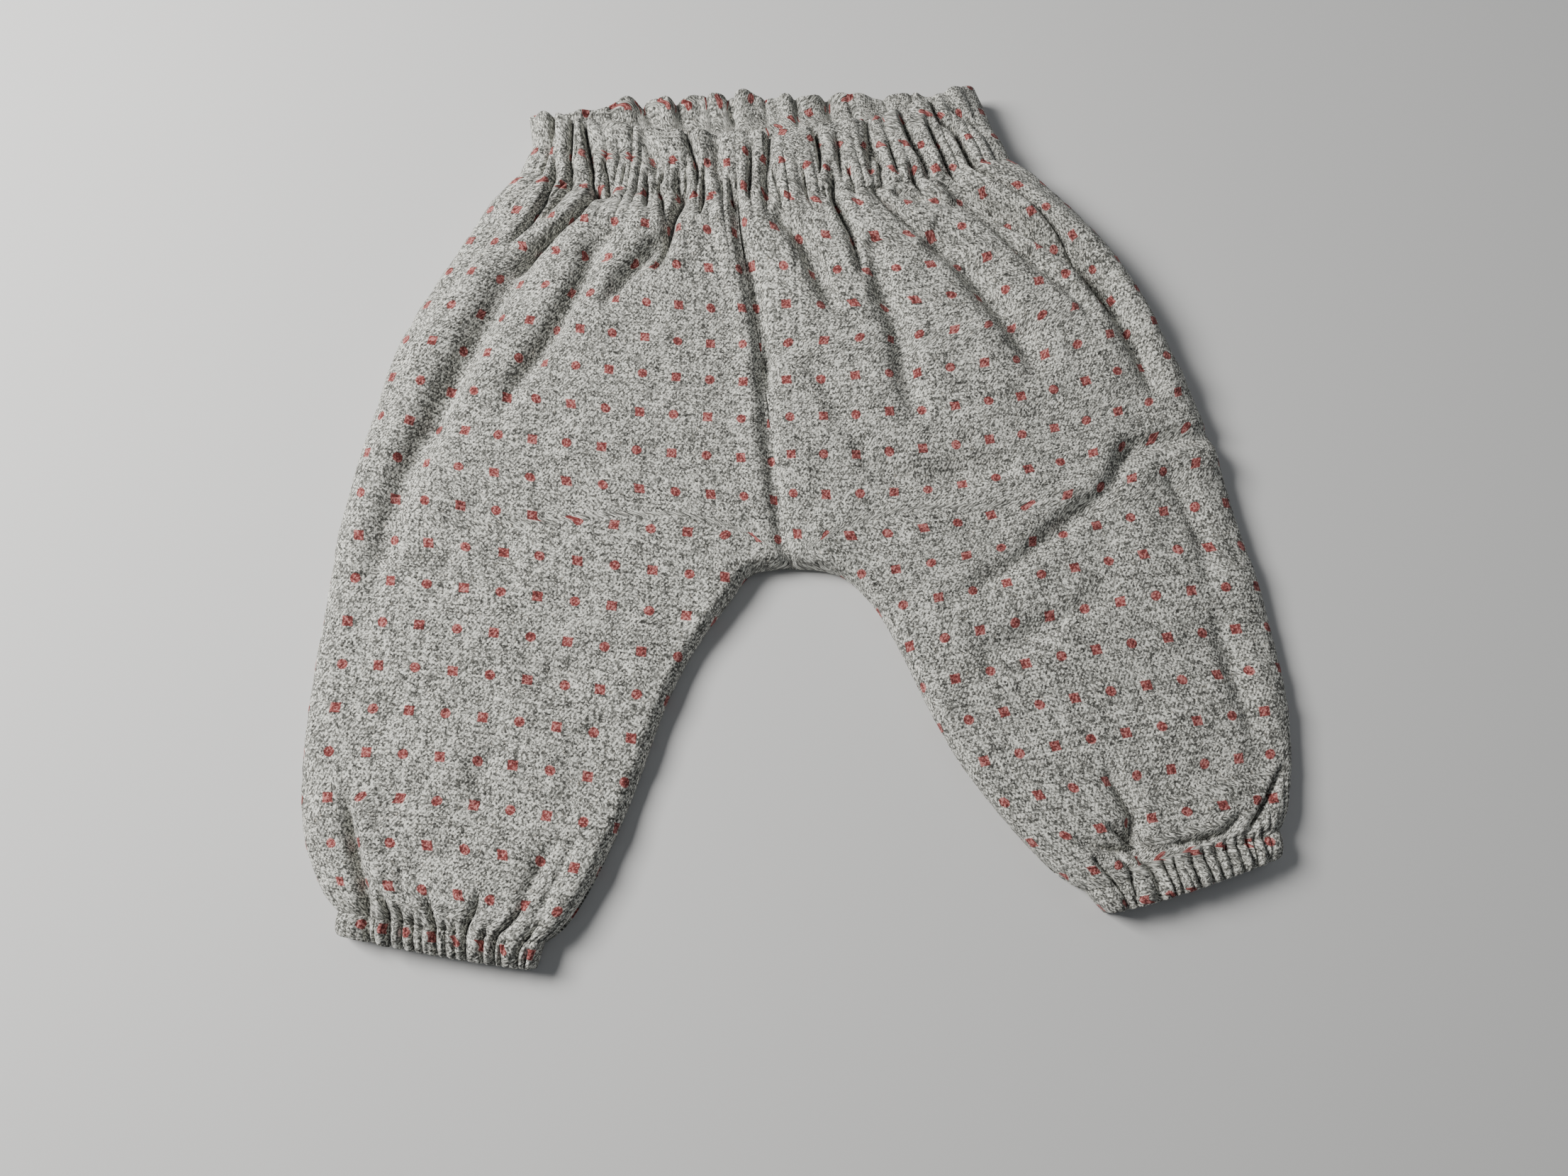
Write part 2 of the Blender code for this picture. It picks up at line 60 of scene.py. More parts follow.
# ---------------------------------------------------------------- driving sizes
SEAM_GAP = 0.04               # between the two halves
SEAM_DIP = 0.6                # how deep the two edges turn in at the centre seam
SEAM_WIDTH = 1.1              # and how far from the seam they do
WALL = 1.0                    # one layer of brushed flannel
FRILL_WALL = 2.0              # the frill is the cloth turned over on itself
CUFF_WALL = 1.8               # so is the casing at the ankle
CUFF_CROWN = 0.8              # how much higher a cuff is in its middle than at its ends

SIDE_ROUND = 13.0             # plan width over which the front rises at the side fold
SIDE_ROUND_BACK = 9.0
SIDE_TIP = 0.38               # height of the side fold's tip, as a share of the height
INSEAM_ROUND = 4.4            # the same at the inseam
INSEAM_ROUND_BACK = 6.0
INSEAM_TIP = 2.9
CROWN = 0.10                  # how much lower the cloth lies away from the middle
UPRIGHT_ROWS = 8              # rows above a cuff over which a section turns upright

PRINT_COLUMN = 12.2           # the print's repeat across the cloth and along it
PRINT_ROW = 14.7


def rows_of(kind, *rows):
    """A table's rows, with the columns named by their kind."""
    return [kind(*row) for row in rows]


# ---------------------------------------------------------------- sections
# The body, from the channel down to the crotch: the front end of the centre seam, how
# much nearer the waist the back layer lies, the tips of the two side folds, the height,
# how sharply a section bends up to the side fold, and its bow towards the waist.
Body = namedtuple("Body", "name seam_x seam_y lift left_x left_y right_x right_y height bend bow")
BODY = rows_of(
    Body,
    ("channel_seam", -20.7, 143.5, 22.0, -106.0, 157.0, 86.5, 163.0, 17.4, 2.4, 0),
    ("gathers", -20.3, 138.0, 21.0, -110.5, 151.5, 93.5, 157.5, 18.6, 2.4, 0),
    ("flare", -19.6, 130.5, 20.0, -116.0, 144.0, 100.5, 150.0, 18.8, 2.3, 0),
    ("high_hip", -18.0, 119.5, 18.0, -122.5, 133.0, 110.0, 140.0, 18.2, 2.2, 0),
    ("hip", -15.5, 104.0, 15.5, -132.0, 116.0, 120.5, 126.5, 17.6, 2.1, 0),
    ("low_hip", -12.5, 86.0, 12.5, -141.5, 98.5, 130.0, 110.0, 17.0, 2.0, 0),
    ("seat", -9.8, 67.0, 9.5, -149.2, 79.5, 138.5, 92.0, 16.4, 1.8, 12),
    ("low_seat", -7.4, 47.5, 6.5, -154.2, 59.0, 146.3, 74.0, 15.6, 1.7, 30),
    ("rise", -5.0, 29.5, 4.0, -158.6, 40.5, 151.6, 57.5, 14.6, 1.6, 60),
    ("low_rise", -2.6, 14.0, 2.0, -161.2, 28.5, 155.2, 45.0, 13.6, 1.5, 100),
    ("crotch", 0.0, 0.0, 0.0, -162.8, 20.0, 158.2, 33.0, 12.8, 1.5, 140))

# A leg, from the crotch down to the cuff: the inseam edge and the tip of the side fold.
Leg = namedtuple("Leg", "name inseam_x inseam_y side_x side_y height bend bow")
LEFT_LEG = rows_of(
    Leg,
    ("arch", -9.0, -0.4, -163.9, 13.5, 12.4, 1.5, 112),
    ("arch_turn", -16.0, -3.6, -164.5, 7.0, 12.0, 1.4, 82),
    ("arch_end", -22.0, -12.0, -165.1, -1.5, 11.6, 1.4, 56),
    ("thigh", -30.0, -23.0, -166.2, -12.5, 11.2, 1.3, 30),
    ("low_thigh", -38.2, -36.5, -167.4, -26.0, 10.8, 1.3, 12),
    ("knee", -45.4, -53.0, -168.6, -42.0, 10.6, 1.2, 5),
    ("shin", -51.5, -71.5, -169.3, -59.5, 10.6, 1.2, 0),
    ("calf", -57.7, -88.7, -169.0, -76.0, 10.8, 1.2, 0),
    ("puff", -64.5, -104.5, -167.0, -91.5, 11.4, 1.2, 0),
    ("tuck", -71.0, -117.0, -162.6, -105.0, 11.8, 1.2, 0),
    ("ankle_gathers", -76.8, -125.2, -157.6, -113.8, 12.2, 1.2, 0),
    ("cuff_seam", -82.0, -129.3, -152.8, -118.8, 11.4, 1.2, 0))
RIGHT_LEG = rows_of(
    Leg,
    ("arch", 10.0, -0.6, 160.0, 24.0, 12.4, 1.5, 112),
    ("arch_turn", 17.5, -2.8, 161.6, 16.5, 12.0, 1.4, 82),
    ("arch_end", 24.5, -8.4, 163.6, 9.0, 11.6, 1.4, 56),
    ("thigh", 32.0, -18.0, 166.3, -1.0, 11.2, 1.3, 30),
    ("low_thigh", 39.5, -32.5, 169.0, -14.0, 10.8, 1.3, 12),
    ("knee", 47.8, -50.5, 171.4, -29.5, 10.6, 1.2, 5),
    ("shin", 56.3, -66.6, 173.2, -45.5, 10.6, 1.2, 0),
    ("calf", 66.0, -81.0, 173.3, -60.0, 10.8, 1.2, 0),
    ("puff", 77.5, -95.5, 172.2, -73.0, 11.6, 1.2, 0),
    ("tuck", 87.0, -105.5, 170.4, -82.5, 12.2, 1.2, 0),
    ("ankle_gathers", 93.5, -110.2, 168.4, -88.2, 12.4, 1.2, 0),
    ("cuff_seam", 98.3, -112.6, 166.4, -92.0, 11.6, 1.2, 0))
LEFT_HEM = Leg("hem", -84.4, -138.2, -153.2, -126.8, 11.4, 1.2, 0)
RIGHT_HEM = Leg("hem", 104.4, -120.4, 166.8, -101.4, 11.8, 1.2, 0)

# The waist, from the body's first section up.
WAIST = rows_of(
    Body,
    ("channel_middle", -21.2, 150.5, 22.0, -103.6, 162.5, 83.6, 169.0, 18.2, 2.4, 0),
    ("frill_seam", -21.6, 157.4, 22.0, -101.6, 168.0, 80.6, 175.5, 17.6, 2.4, 0),
    ("frill_middle", -21.9, 163.4, 22.5, -102.2, 174.5, 77.0, 185.5, 18.6, 2.4, 0),
    ("frill_edge", -22.1, 169.6, 23.5, -103.2, 181.0, 73.0, 195.0, 19.4, 2.4, 0))

# ---------------------------------------------------------------- the print
# Columns of dots at the centre seam or inseam and at the side fold, section by section.
Columns = namedtuple("Columns", "section seam side")
LEFT_COLUMNS = rows_of(
    Columns, ("channel_seam", 7.3, -4.7), ("hip", 7.4, -4.7), ("seat", 7.8, -4.7), ("rise", 8.2, -4.7),
    ("crotch", 8.45, -4.85), ("arch", 7.75, -4.95), ("arch_turn", 7.05, -5.0), ("arch_end", 6.55, -5.0),
    ("thigh", 5.95, -5.0), ("low_thigh", 5.45, -5.0), ("knee", 5.05, -5.05), ("shin", 4.7, -5.05),
    ("calf", 4.35, -5.1), ("puff", 4.05, -5.1), ("cuff_seam", 3.6, -5.0))
RIGHT_COLUMNS = rows_of(
    Columns, ("channel_seam", -9.4, 4.6), ("hip", -9.2, 4.6), ("seat", -8.75, 4.7), ("rise", -8.5, 5.0),
    ("crotch", -8.3, 5.35), ("arch", -7.55, 5.4), ("arch_turn", -7.0, 5.4), ("arch_end", -6.45, 5.35),
    ("thigh", -5.95, 5.3), ("low_thigh", -5.5, 5.3), ("knee", -5.2, 5.25), ("shin", -4.95, 5.1),
    ("calf", -4.7, 5.0), ("puff", -4.5, 4.9), ("cuff_seam", -4.2, 4.7))

# Rows of dots: y at the stations across the front, which are counted outwards from the crotch.
ROW_STATIONS = (0.0, 50.0, 100.0, 150.0)
ROW_REACH = (-25.0, 172.0)    # how far out, and past the middle, the rows' curves are used
Row = namedtuple("Row", "number y0 y50 y100 y150")
LEFT_ROWS = rows_of(
    Row, (-14, 176.5, 176.0, 182.0, 194.0), (-13, 158.5, 158.0, 164.0, 176.0),
    (-11, 127.0, 130.0, 136.0, 148.0), (-9, 96.5, 98.5, 107.0, 118.0), (-7, 66.5, 70.0, 77.0, 87.0),
    (-5, 37.5, 41.0, 46.0, 55.5), (-3, 9.0, 12.5, 18.5, 25.5), (0, -38.0, -32.0, -25.5, -21.0),
    (3, -86.0, -78.0, -70.5, -66.5), (5, -117.0, -109.5, -100.5, -97.0),
    (7, -147.0, -139.0, -130.5, -122.0))
RIGHT_ROWS = rows_of(
    Row, (-16, 168.5, 166.0, 176.0, 190.0), (-15, 157.5, 154.5, 163.0, 176.0),
    (-13, 128.0, 127.0, 139.0, 158.0), (-10, 83.0, 86.5, 95.5, 117.0), (-7, 40.0, 42.5, 51.0, 68.0),
    (-5, 11.0, 13.0, 25.0, 38.0), (-3, -21.0, -12.5, -1.5, 6.5), (0, -72.0, -58.0, -47.5, -39.5),
    (3, -114.0, -103.5, -93.0, -84.0), (4, -128.0, -117.5, -106.0, -97.5))

# What differs between the halves: the hand is -1 on the left as seen and 1 on the right,
# the gathers are those across its half of the waist, the seed is that of its ankle's
# gathers, and the shift is how many dots its print is out of step, since squares and
# rounds alternate and the halves were cut apart.
Half = namedtuple("Half", "hand side leg hem columns rows gathers seed shift")
LEFT = Half(-1, ("left_x", "left_y"), LEFT_LEG, LEFT_HEM, LEFT_COLUMNS, LEFT_ROWS, 16, 0.5, 0)
RIGHT = Half(1, ("right_x", "right_y"), RIGHT_LEG, RIGHT_HEM, RIGHT_COLUMNS, RIGHT_ROWS, 20, 1.5, 1)

# ---------------------------------------------------------------- valleys
# Each valley in the cloth runs through points in plan: how wide and deep it is, its share
# of that depth at its first and last point, how many millimetres of cloth it hides, and
# the height of the soft roll on its left (looking along it), or on its right if negative.
Valley = namedtuple("Valley", "name width depth start end hidden roll path")
VALLEYS = rows_of(
    Valley,
    ("left_finger_outer", 1.1, 4.6, 1, 0, 3, 0, ((-93, 172.1), (-94.2, 163), (-94.8, 158.2),
     (-97.1, 151.2))),
    ("left_finger_inner", 0.85, 5.8, 1, 0, 4, 0, ((-84.7, 170.7), (-84.9, 163), (-84.8, 156.9),
     (-83.9, 153.7), (-84.6, 145.9))),
    ("left_frill_notch", 0.85, 7.8, 1, 0.3, 5, 0, ((-79.5, 172.2), (-78.4, 165.6), (-76.7, 157.7),
     (-75.9, 153.4), (-75.7, 148.3), (-73.7, 143.5))),
    ("left_channel_second", 0.77, 4.9, 0, 0.2, 3, 0, ((-71.9, 158.1), (-70.9, 155), (-70, 150.9),
     (-69.5, 143.8))),
    ("left_channel_third", 0.68, 2.6, 0, 0, 2, 0, ((-63.6, 158.1), (-63.5, 155), (-64.1, 150.8),
     (-64.5, 145.3))),
    ("left_channel_pocket", 1.1, 3.9, 0.2, 0, 1, 0, ((-75.4, 145.4), (-72.3, 143.1), (-67.3, 144.3))),
    ("left_frill_hollow", 2.6, 3.4, 0.5, 0.2, 3, 0, ((-56.7, 168.5), (-55, 164.2), (-52.8, 158.9),
     (-52, 152.5))),
    ("left_channel_fourth", 0.77, 5.4, 0, 0.1, 3, 0, ((-55.3, 153.2), (-55.1, 148.9), (-55, 144.4),
     (-55, 138.4))),
    ("left_channel_fifth", 0.85, 5.2, 0, 0, 4, 0, ((-49.2, 157.2), (-49, 151.2), (-50.7, 147.4),
     (-49.2, 142.3), (-48.7, 137.8), (-47.5, 131.8))),
    ("left_front_crease", 1.8, 7.8, 0.2, 0.2, 8, 0, ((-42.9, 153.3), (-43.2, 147.8), (-41.9, 143.1),
     (-42.5, 139.9), (-44.6, 134.2), (-46, 126.2), (-48.4, 117.9), (-50.6, 113.2))),
    ("left_channel_seventh", 0.68, 3.2, 0, 0, 2, 0, ((-40.4, 152.6), (-40.1, 147.7), (-39.8, 143.5))),
    ("frill_first", 1.02, 5.4, 0.6, 0.2, 4, 0, ((-40.5, 169.4), (-39.7, 167.2), (-37.7, 161.4),
     (-36.4, 156.7), (-35.8, 149.8))),
    ("frill_first_low", 0.77, 6.1, 0.1, 0, 4, 0, ((-33.6, 155.6), (-33.7, 151.4), (-33.6, 147.1),
     (-33.7, 140.7), (-34.8, 134.5))),
    ("frill_second", 2.1, 3.4, 0.9, 0, 3, 0, ((-28.3, 170), (-28.6, 160), (-28.1, 153), (-26.6, 148.3),
     (-25.9, 142.6))),
    ("channel_seam_left", 0.77, 5.4, 0, 0.4, 3, 0, ((-24, 152.6), (-23.3, 148.9), (-22.7, 143.4),
     (-21.3, 138.7))),
    ("channel_seam_right", 0.68, 4.1, 0, 0.2, 2, 0, ((-21.1, 152), (-21.1, 147.1), (-20.9, 140.5))),
    ("frill_third", 0.94, 5.2, 0.2, 0, 3, 0, ((-15.5, 164.2), (-15.6, 157.7), (-15.9, 150.2),
     (-16.3, 147.1), (-15.4, 141.7))),
    ("frill_fourth", 1.6, 5.6, 1, 0.1, 5, 0, ((-8, 172.8), (-8.6, 168.5), (-8.8, 162.9), (-9, 158),
     (-9.7, 152), (-9.1, 146.5), (-9.5, 137.5))),
    ("frill_fifth", 0.77, 3.9, 0, 0, 2, 0, ((-7.4, 157.5), (-6.7, 152.6), (-5.4, 147.1))),
    ("channel_mid_right", 0.94, 4.1, 0, 0, 3, 0, ((4.7, 157.2), (5, 152), (5.5, 147.4), (6.7, 142.6),
     (9.2, 135.4))),
    ("frill_sixth", 0.85, 7.1, 1, 0, 5, 0, ((9, 172.8), (10, 167.9), (10.9, 162.3), (11.1, 157.4),
     (10.9, 151.9))),
    ("channel_short_right", 0.68, 3, 0, 0, 2, 0, ((12.2, 149.5), (12.7, 145.9), (13.5, 142.3))),
    ("right_front_crease", 1.7, 7.4, 0, 0.1, 7, 0, ((15.2, 158.8), (16.1, 152), (15.9, 145.7),
     (17.5, 139.9), (19.9, 134.2), (23, 127.4), (24.7, 119.7), (26.2, 111.5))),
    ("frill_seventh", 1.02, 4.5, 0, 0, 3, 0, ((17.2, 168.5), (18, 164.2), (18.5, 158.6), (19.2, 153.1),
     (20, 148.3))),
    ("channel_right_third", 0.85, 4.5, 0, 0.1, 3, 0, ((21.2, 158.1), (22.2, 153.8), (23.7, 148.7),
     (24.5, 144.1))),
    ("frill_eighth", 1.7, 5.3, 0.9, 0, 4, 0, ((29.3, 175.6), (29.7, 169.7), (30.1, 162.6), (30.4, 157.1),
     (29.9, 151.3))),
    ("frill_eighth_right", 1.4, 5.3, 0, 0.1, 4, 0, ((31.1, 168.5), (32, 163.5), (34.1, 158.2),
     (34, 153.1), (34.9, 146.8))),
    ("frill_ninth", 1.02, 3.6, 0, 0, 2, 0, ((37.5, 167.2), (38.5, 162.9), (39.9, 157.4), (40.7, 151.3))),
    ("channel_right_sixth", 0.94, 4.9, 0, 0.1, 3, 0, ((45, 157.2), (46, 152.9), (47.5, 148.7),
     (50.3, 144.7))),
    ("frill_hole", 1.4, 7.1, 0.2, 0, 6, 0, ((41.9, 179), (43.9, 174), (46.8, 167.3), (50.2, 160.2),
     (51.6, 156.2), (52.4, 149.5))),
    ("frill_tenth", 1.02, 6.1, 0.1, 0.5, 4, 0, ((52.2, 175.7), (54.3, 171.7), (57.6, 163.4),
     (59.2, 157.8), (62.1, 152.9))),
    ("right_corner_line", 1.15, 7.5, 0.5, 0.2, 6, 0, ((53.6, 185.6), (57.7, 176.5), (63.3, 171.9),
     (65.5, 166.7), (68, 159.5), (70.6, 154.9), (75.3, 151.3), (84.8, 145.8), (93, 138.6), (100.5, 130),
     (107.5, 120.5), (113.5, 110.5), (119, 99.5))),
    ("right_corner_nick", 1.02, 4.3, 0.3, 0.3, 2, 0, ((61.8, 180.9), (67.9, 177.8), (71.4, 174.1))),
    ("left_side_valley", 1, 4.6, 0.2, 0.1, 6, -0.9, ((-90.5, 160.4), (-90.6, 152.2), (-91.6, 147.5),
     (-93.4, 141.9), (-96.9, 135.7), (-100.3, 130.4), (-105.6, 123.8))),
    ("left_cuff_first", 1.9, 5.4, 0.1, 0.8, 6, 1.4, ((-151.2, -80.9), (-149.8, -86.6), (-148.5, -94.6),
     (-146.4, -101.9), (-144.1, -108.5), (-141.9, -114.6), (-141.5, -121.7), (-140.8, -127.2))),
    ("left_cuff_branch", 0.9, 4.3, 0, 0.8, 3, 0.4, ((-143.6, -105.2), (-140.6, -109.1), (-136.2, -114.6),
     (-134.1, -119), (-133.6, -122.3), (-132.8, -128.8))),
    ("left_cuff_c", 0.72, 3.1, 0, 0.8, 2, 0, ((-138.6, -116.8), (-138, -126.6))),
    ("left_cuff_soft", 1.8, 1.6, 0, 0, 1, 0, ((-131.2, -105.3), (-129.6, -114.9))),
    ("left_cuff_d", 0.72, 3.6, 0, 0.8, 2, 0, ((-131.5, -116.8), (-129.5, -120.1), (-128.8, -128.8))),
    ("left_cuff_f", 0.72, 3.6, 0.1, 0.8, 2, 0, ((-125.8, -120.5), (-125, -129))),
    ("left_cuff_g", 0.63, 2.4, 0.1, 0.8, 1, 0, ((-122.6, -121), (-121.9, -129))),
    ("left_cuff_h", 0.9, 4.6, 0, 0.8, 3, 0.3, ((-122.3, -114), (-120, -117.9), (-119, -121.2),
     (-118.1, -125.5), (-117.3, -132))),
    ("left_cuff_i", 0.72, 2.8, 0, 0.8, 1, 0, ((-114.9, -122.3), (-114.1, -131.7))),
    ("left_cuff_j", 0.72, 2.8, 0, 0.8, 1, 0, ((-111.6, -121.4), (-110.8, -132.2))),
    ("left_cuff_k", 0.9, 3.8, 0, 0.8, 3, -0.3, ((-104, -111.5), (-105.2, -119), (-107.7, -124.4),
     (-108, -128.8), (-107.6, -134.2))),
    ("left_cuff_l", 0.72, 3.9, 0, 0.8, 2, 0, ((-101.4, -124.1), (-102, -129.3), (-101.9, -135.7))),
    ("left_cuff_m", 0.81, 3.6, 0, 0.8, 3, -0.4, ((-88.9, -116.8), (-91, -120.1), (-94.2, -123.9),
     (-97.4, -126.6), (-98.3, -130.4), (-98, -135.7))),
    ("left_cuff_n", 0.63, 2.8, 0, 0.8, 1, 0, ((-96.4, -129), (-96, -136.6))),
    ("left_cuff_o", 0.81, 3.2, 0, 0.8, 3, -0.3, ((-83.1, -122.3), (-86.2, -126.1), (-89.1, -129.8),
     (-90.3, -133), (-90.4, -137))),
    ("left_cuff_p", 0.63, 3.1, 0, 0.8, 1, 0, ((-87.5, -130.8), (-88.1, -137.9))),
    ("left_cuff_q", 0.81, 3.5, 0, 0.8, 2, 0, ((-81.2, -130), (-84.3, -133.5), (-84.9, -138.4))),
    ("left_cuff_hollow", 3.5, 1.7, 0, 0, 0, 0, ((-83.6, -102.3), (-85.4, -107.8), (-89, -115.6))),
    ("right_cuff_first", 2.3, 5.6, 0, 0.2, 6, 1.2, ((106.9, -72.3), (109, -75.7), (112.2, -81.4),
     (115, -87), (114.6, -92.6), (114.8, -95.4), (118.1, -98.9), (122.2, -100.9), (125.6, -102.3))),
    ("right_cuff_branch", 1.2, 5.4, 0, 0.1, 3, 0, ((105.9, -90.7), (111.9, -95.4), (116, -98.2))),
    ("right_cuff_under", 1.6, 6, 0, 0.6, 4, -0.6, ((94.5, -94.5), (101.8, -98.2), (107.4, -99.5),
     (114.4, -100.2), (118.4, -103.7), (121, -106.4), (121.9, -111))),
    ("right_cuff_d", 0.9, 4.6, 0.1, 0.8, 3, 0, ((100.9, -102.1), (105.4, -107.1), (109.3, -111.9),
     (110.6, -114.7))),
    ("right_cuff_e", 0.81, 3.6, 0, 0.8, 2, 0, ((109.3, -101.9), (112.6, -105.8), (113.8, -112.4))),
    ("right_cuff_f", 0.81, 4.1, 0.1, 0.8, 2, 0, ((124.4, -102.8), (126.7, -110.4))),
    ("right_cuff_g", 0.72, 3.4, 0.1, 0.8, 2, 0, ((127.7, -102.1), (129.5, -110.1))),
    ("right_cuff_h", 0.8, 2.9, 0.1, 0.8, 2, 0, ((133.1, -101), (135, -108.5))),
    ("right_cuff_i", 0.8, 2.9, 0.1, 0.8, 2, 0, ((137, -98.9), (139.7, -106.7))),
    ("right_cuff_j", 0.8, 2.9, 0.1, 0.8, 2, 0, ((141.4, -97.3), (143.3, -105.6))),
    ("right_cuff_k", 0.8, 2.9, 0.1, 0.8, 2, 0, ((145.1, -95.9), (146.6, -104.9))),
    ("right_cuff_l", 0.8, 2.9, 0.1, 0.8, 2, 0, ((148.7, -95.2), (150.5, -103.9))),
    ("right_cuff_m", 0.8, 2.9, 0.1, 0.8, 2, 0, ((152, -93.8), (154.2, -103))),
    ("right_cuff_n", 0.72, 3.4, 0.1, 0.8, 2, 0, ((155.2, -94.5), (156.3, -103.3))),
    ("right_cuff_o", 0.72, 3.4, 0.1, 0.8, 2, 0, ((158.5, -93), (160.3, -102.5))),
    ("right_cuff_overhang", 1.1, 4.2, 0.1, 0.1, 4, 0.8, ((127, -97.7), (133, -96.9), (138.7, -95.7),
     (143.1, -94.7), (146.9, -91.9), (151.1, -88))),
    ("right_cuff_corner", 0.9, 5.7, 0.5, 0.1, 5, 0, ((167, -74.2), (162.6, -81.3), (157.7, -87.7),
     (154.2, -91.9))),
    ("left_hip_valley", 1.3, 6, 0.3, 0, 7, -1, ((-73.7, 144.4), (-77.4, 140.4), (-85.7, 130.6),
     (-95.9, 120.4), (-103.3, 110.2))),
    ("left_long_valley", 4.8, 5.9, 0, 0, 7, -1.6, ((-90, 127), (-99, 115.5), (-107, 104), (-113.5, 90.7),
     (-121.5, 74.1), (-128.3, 59.3), (-134, 45), (-140.4, 30), (-146.2, 6.9), (-151, -25.8))),
    ("left_roll_valley", 1.8, 4.4, 0, 0, 3, 0, ((-82, 151), (-84.5, 147.3), (-88.6, 142), (-94, 134.5),
     (-99, 128))),
    ("left_seat_valley", 3.4, 5.2, 0, 0, 4, -0.6, ((-70.9, 126.9), (-73.7, 120.4), (-79.3, 105.6),
     (-85.7, 92.6), (-94.1, 77.8), (-101.5, 64.8), (-106.1, 53.7))),
    ("left_belly_branch", 2.8, 5, 0.2, 0, 3, -0.9, ((-48.7, 125.9), (-51.5, 121.3), (-57, 114.8),
     (-64.4, 105.6), (-70.9, 96.3))),
    ("centre_crease", 2.3, 5.2, 0.4, 0.3, 6, -1.8, ((-21.3, 144.4), (-20.4, 135.2), (-19.1, 125.9),
     (-15.4, 111.1), (-12.6, 94.4), (-10.4, 79.6), (-9.3, 66.7))),
    ("centre_seam", 2.6, 3.4, 0.9, 0.2, 2, -1, ((-9.6, 70), (-8.8, 56), (-7.4, 40.7), (-5.4, 24),
     (-2.8, 9), (-0.6, 1))),
    ("right_inner_valley", 3.4, 6.6, 0, 0, 4, -1.2, ((-7, 138.9), (-3.7, 134.3), (2.2, 127.8),
     (7.8, 116.7), (13.3, 103.7), (16.7, 94.4))),
    ("right_inner_soft", 4, 1.8, 0, 0, 0, 0, ((7, 78), (11, 68), (17, 58), (27, 41))),
    ("right_front_broad", 4.2, 5.8, 0, 0, 2, -1, ((29.6, 125), (30.9, 120.4), (34.6, 103.7),
     (39.3, 88.9), (42, 70.4), (47, 51.9))),
    ("right_hip_crease", 1.9, 5.6, 0.1, 0.3, 5, 0, ((31.5, 147.2), (32.8, 144.4), (41.1, 135.2),
     (50.4, 126.9), (56.9, 122.2))),
    ("right_hip_broad", 5, 7.8, 0, 0, 2, -1, ((50.4, 126.9), (59.6, 120.4), (70.7, 107.4), (80, 94.4),
     (87.4, 81.5), (93, 70.4))),
    ("right_side_valley", 3.4, 9, 0.15, 0, 8, 2.8, ((58, 151), (63.3, 146.5), (69, 142.5), (76.3, 138.3),
     (87.4, 131.4), (98.5, 124.4), (108.6, 116.5), (117, 104.6), (124.3, 90.7), (130.7, 74), (134, 62))),
    ("right_side_bulge", 3.4, 0, 0, 0, 0, -2.4, ((70, 141), (78, 137), (89, 129), (100, 120.5),
     (109, 110), (117.5, 96), (125, 80), (130, 66))),
    ("right_side_tuck", 2.8, 7, 0.3, 0, 4, 0.5, ((62, 141), (70.7, 136.5), (76.3, 131.8), (85.6, 121.5),
     (94.8, 113.7), (105.8, 101.7), (112, 90))),
    ("right_hip_roll", 2.4, 5, 0.1, 0, 3, 0, ((39, 145.5), (43, 144), (48.5, 142.4), (56, 141),
     (64, 138.5))),
    ("right_leg_fold", 3.1, 3.5, 0.2, 0, 5, -1.4, ((124, 43.5), (120.4, 40), (117.3, 33.8), (113, 26.2),
     (101.9, 17.5), (90.4, 8.8), (78.8, -0.8), (65.4, -8.5), (52, -16.2))),
    ("right_knee_fold", 3.2, 4.2, 0.5, 0.3, 3, 1.2, ((153, 50), (147.1, 47.3), (140, 46.4),
     (132.7, 45.4), (125, 43.2), (119.6, 38.6))),
    ("right_knee_side", 3.4, 2.4, 0, 0, 1, 0, ((133, 41), (136, 34.5), (140.4, 26.2), (145.2, 14.6),
     (148.1, -0.8), (149, -8))),
    ("right_shin_side", 4.4, 3.2, 0, 0, 1, 0, ((149.5, -18), (152.4, -29), (156.3, -45), (159.8, -60.4),
     (162.8, -73))),
    ("right_knee_soft", 4.4, 3, 0, 0, 0, 0, ((64, -35), (71.2, -31.5), (90.4, -21.9), (107.7, -14.2),
     (116, -11))),
    ("right_seat_soft", 5, 4, 0, 0, 0, 0, ((22, 45), (31, 36), (48.1, 30.5), (63.5, 34.8), (82, 34))),
    ("left_knee_soft", 5, 2.6, 0, 0, 0, 0, ((-96, -36), (-84, -41), (-70, -43))),
    ("left_thigh_soft", 6, 2.6, 0, 0, 0, 0, ((-118, 22), (-104, 6), (-96, -10))),
    ("left_shin_soft", 5, 2.6, 0, 0, 0, 0, ((-96, -60), (-106, -72), (-104, -86))),
    ("left_ankle_first", 1.7, 1.5, 0, 0.1, 1, 0, ((-78, -94), (-80.8, -99), (-86, -108), (-89.5, -115),
     (-91.3, -121.9))),
    ("left_ankle_second", 1.7, 1.2, 0, 0.1, 1, 0, ((-71, -94), (-75, -101), (-79, -110), (-83.5, -119))),
    ("left_ankle_soft", 2.4, 1.2, 0, 0, 1, 0, ((-129, -92), (-126, -101), (-122, -111))),
    ("left_edge_pleat", 3.2, 2.6, 0.2, 0, 1, 0, ((-112, 132), (-121, 118), (-130, 101))))

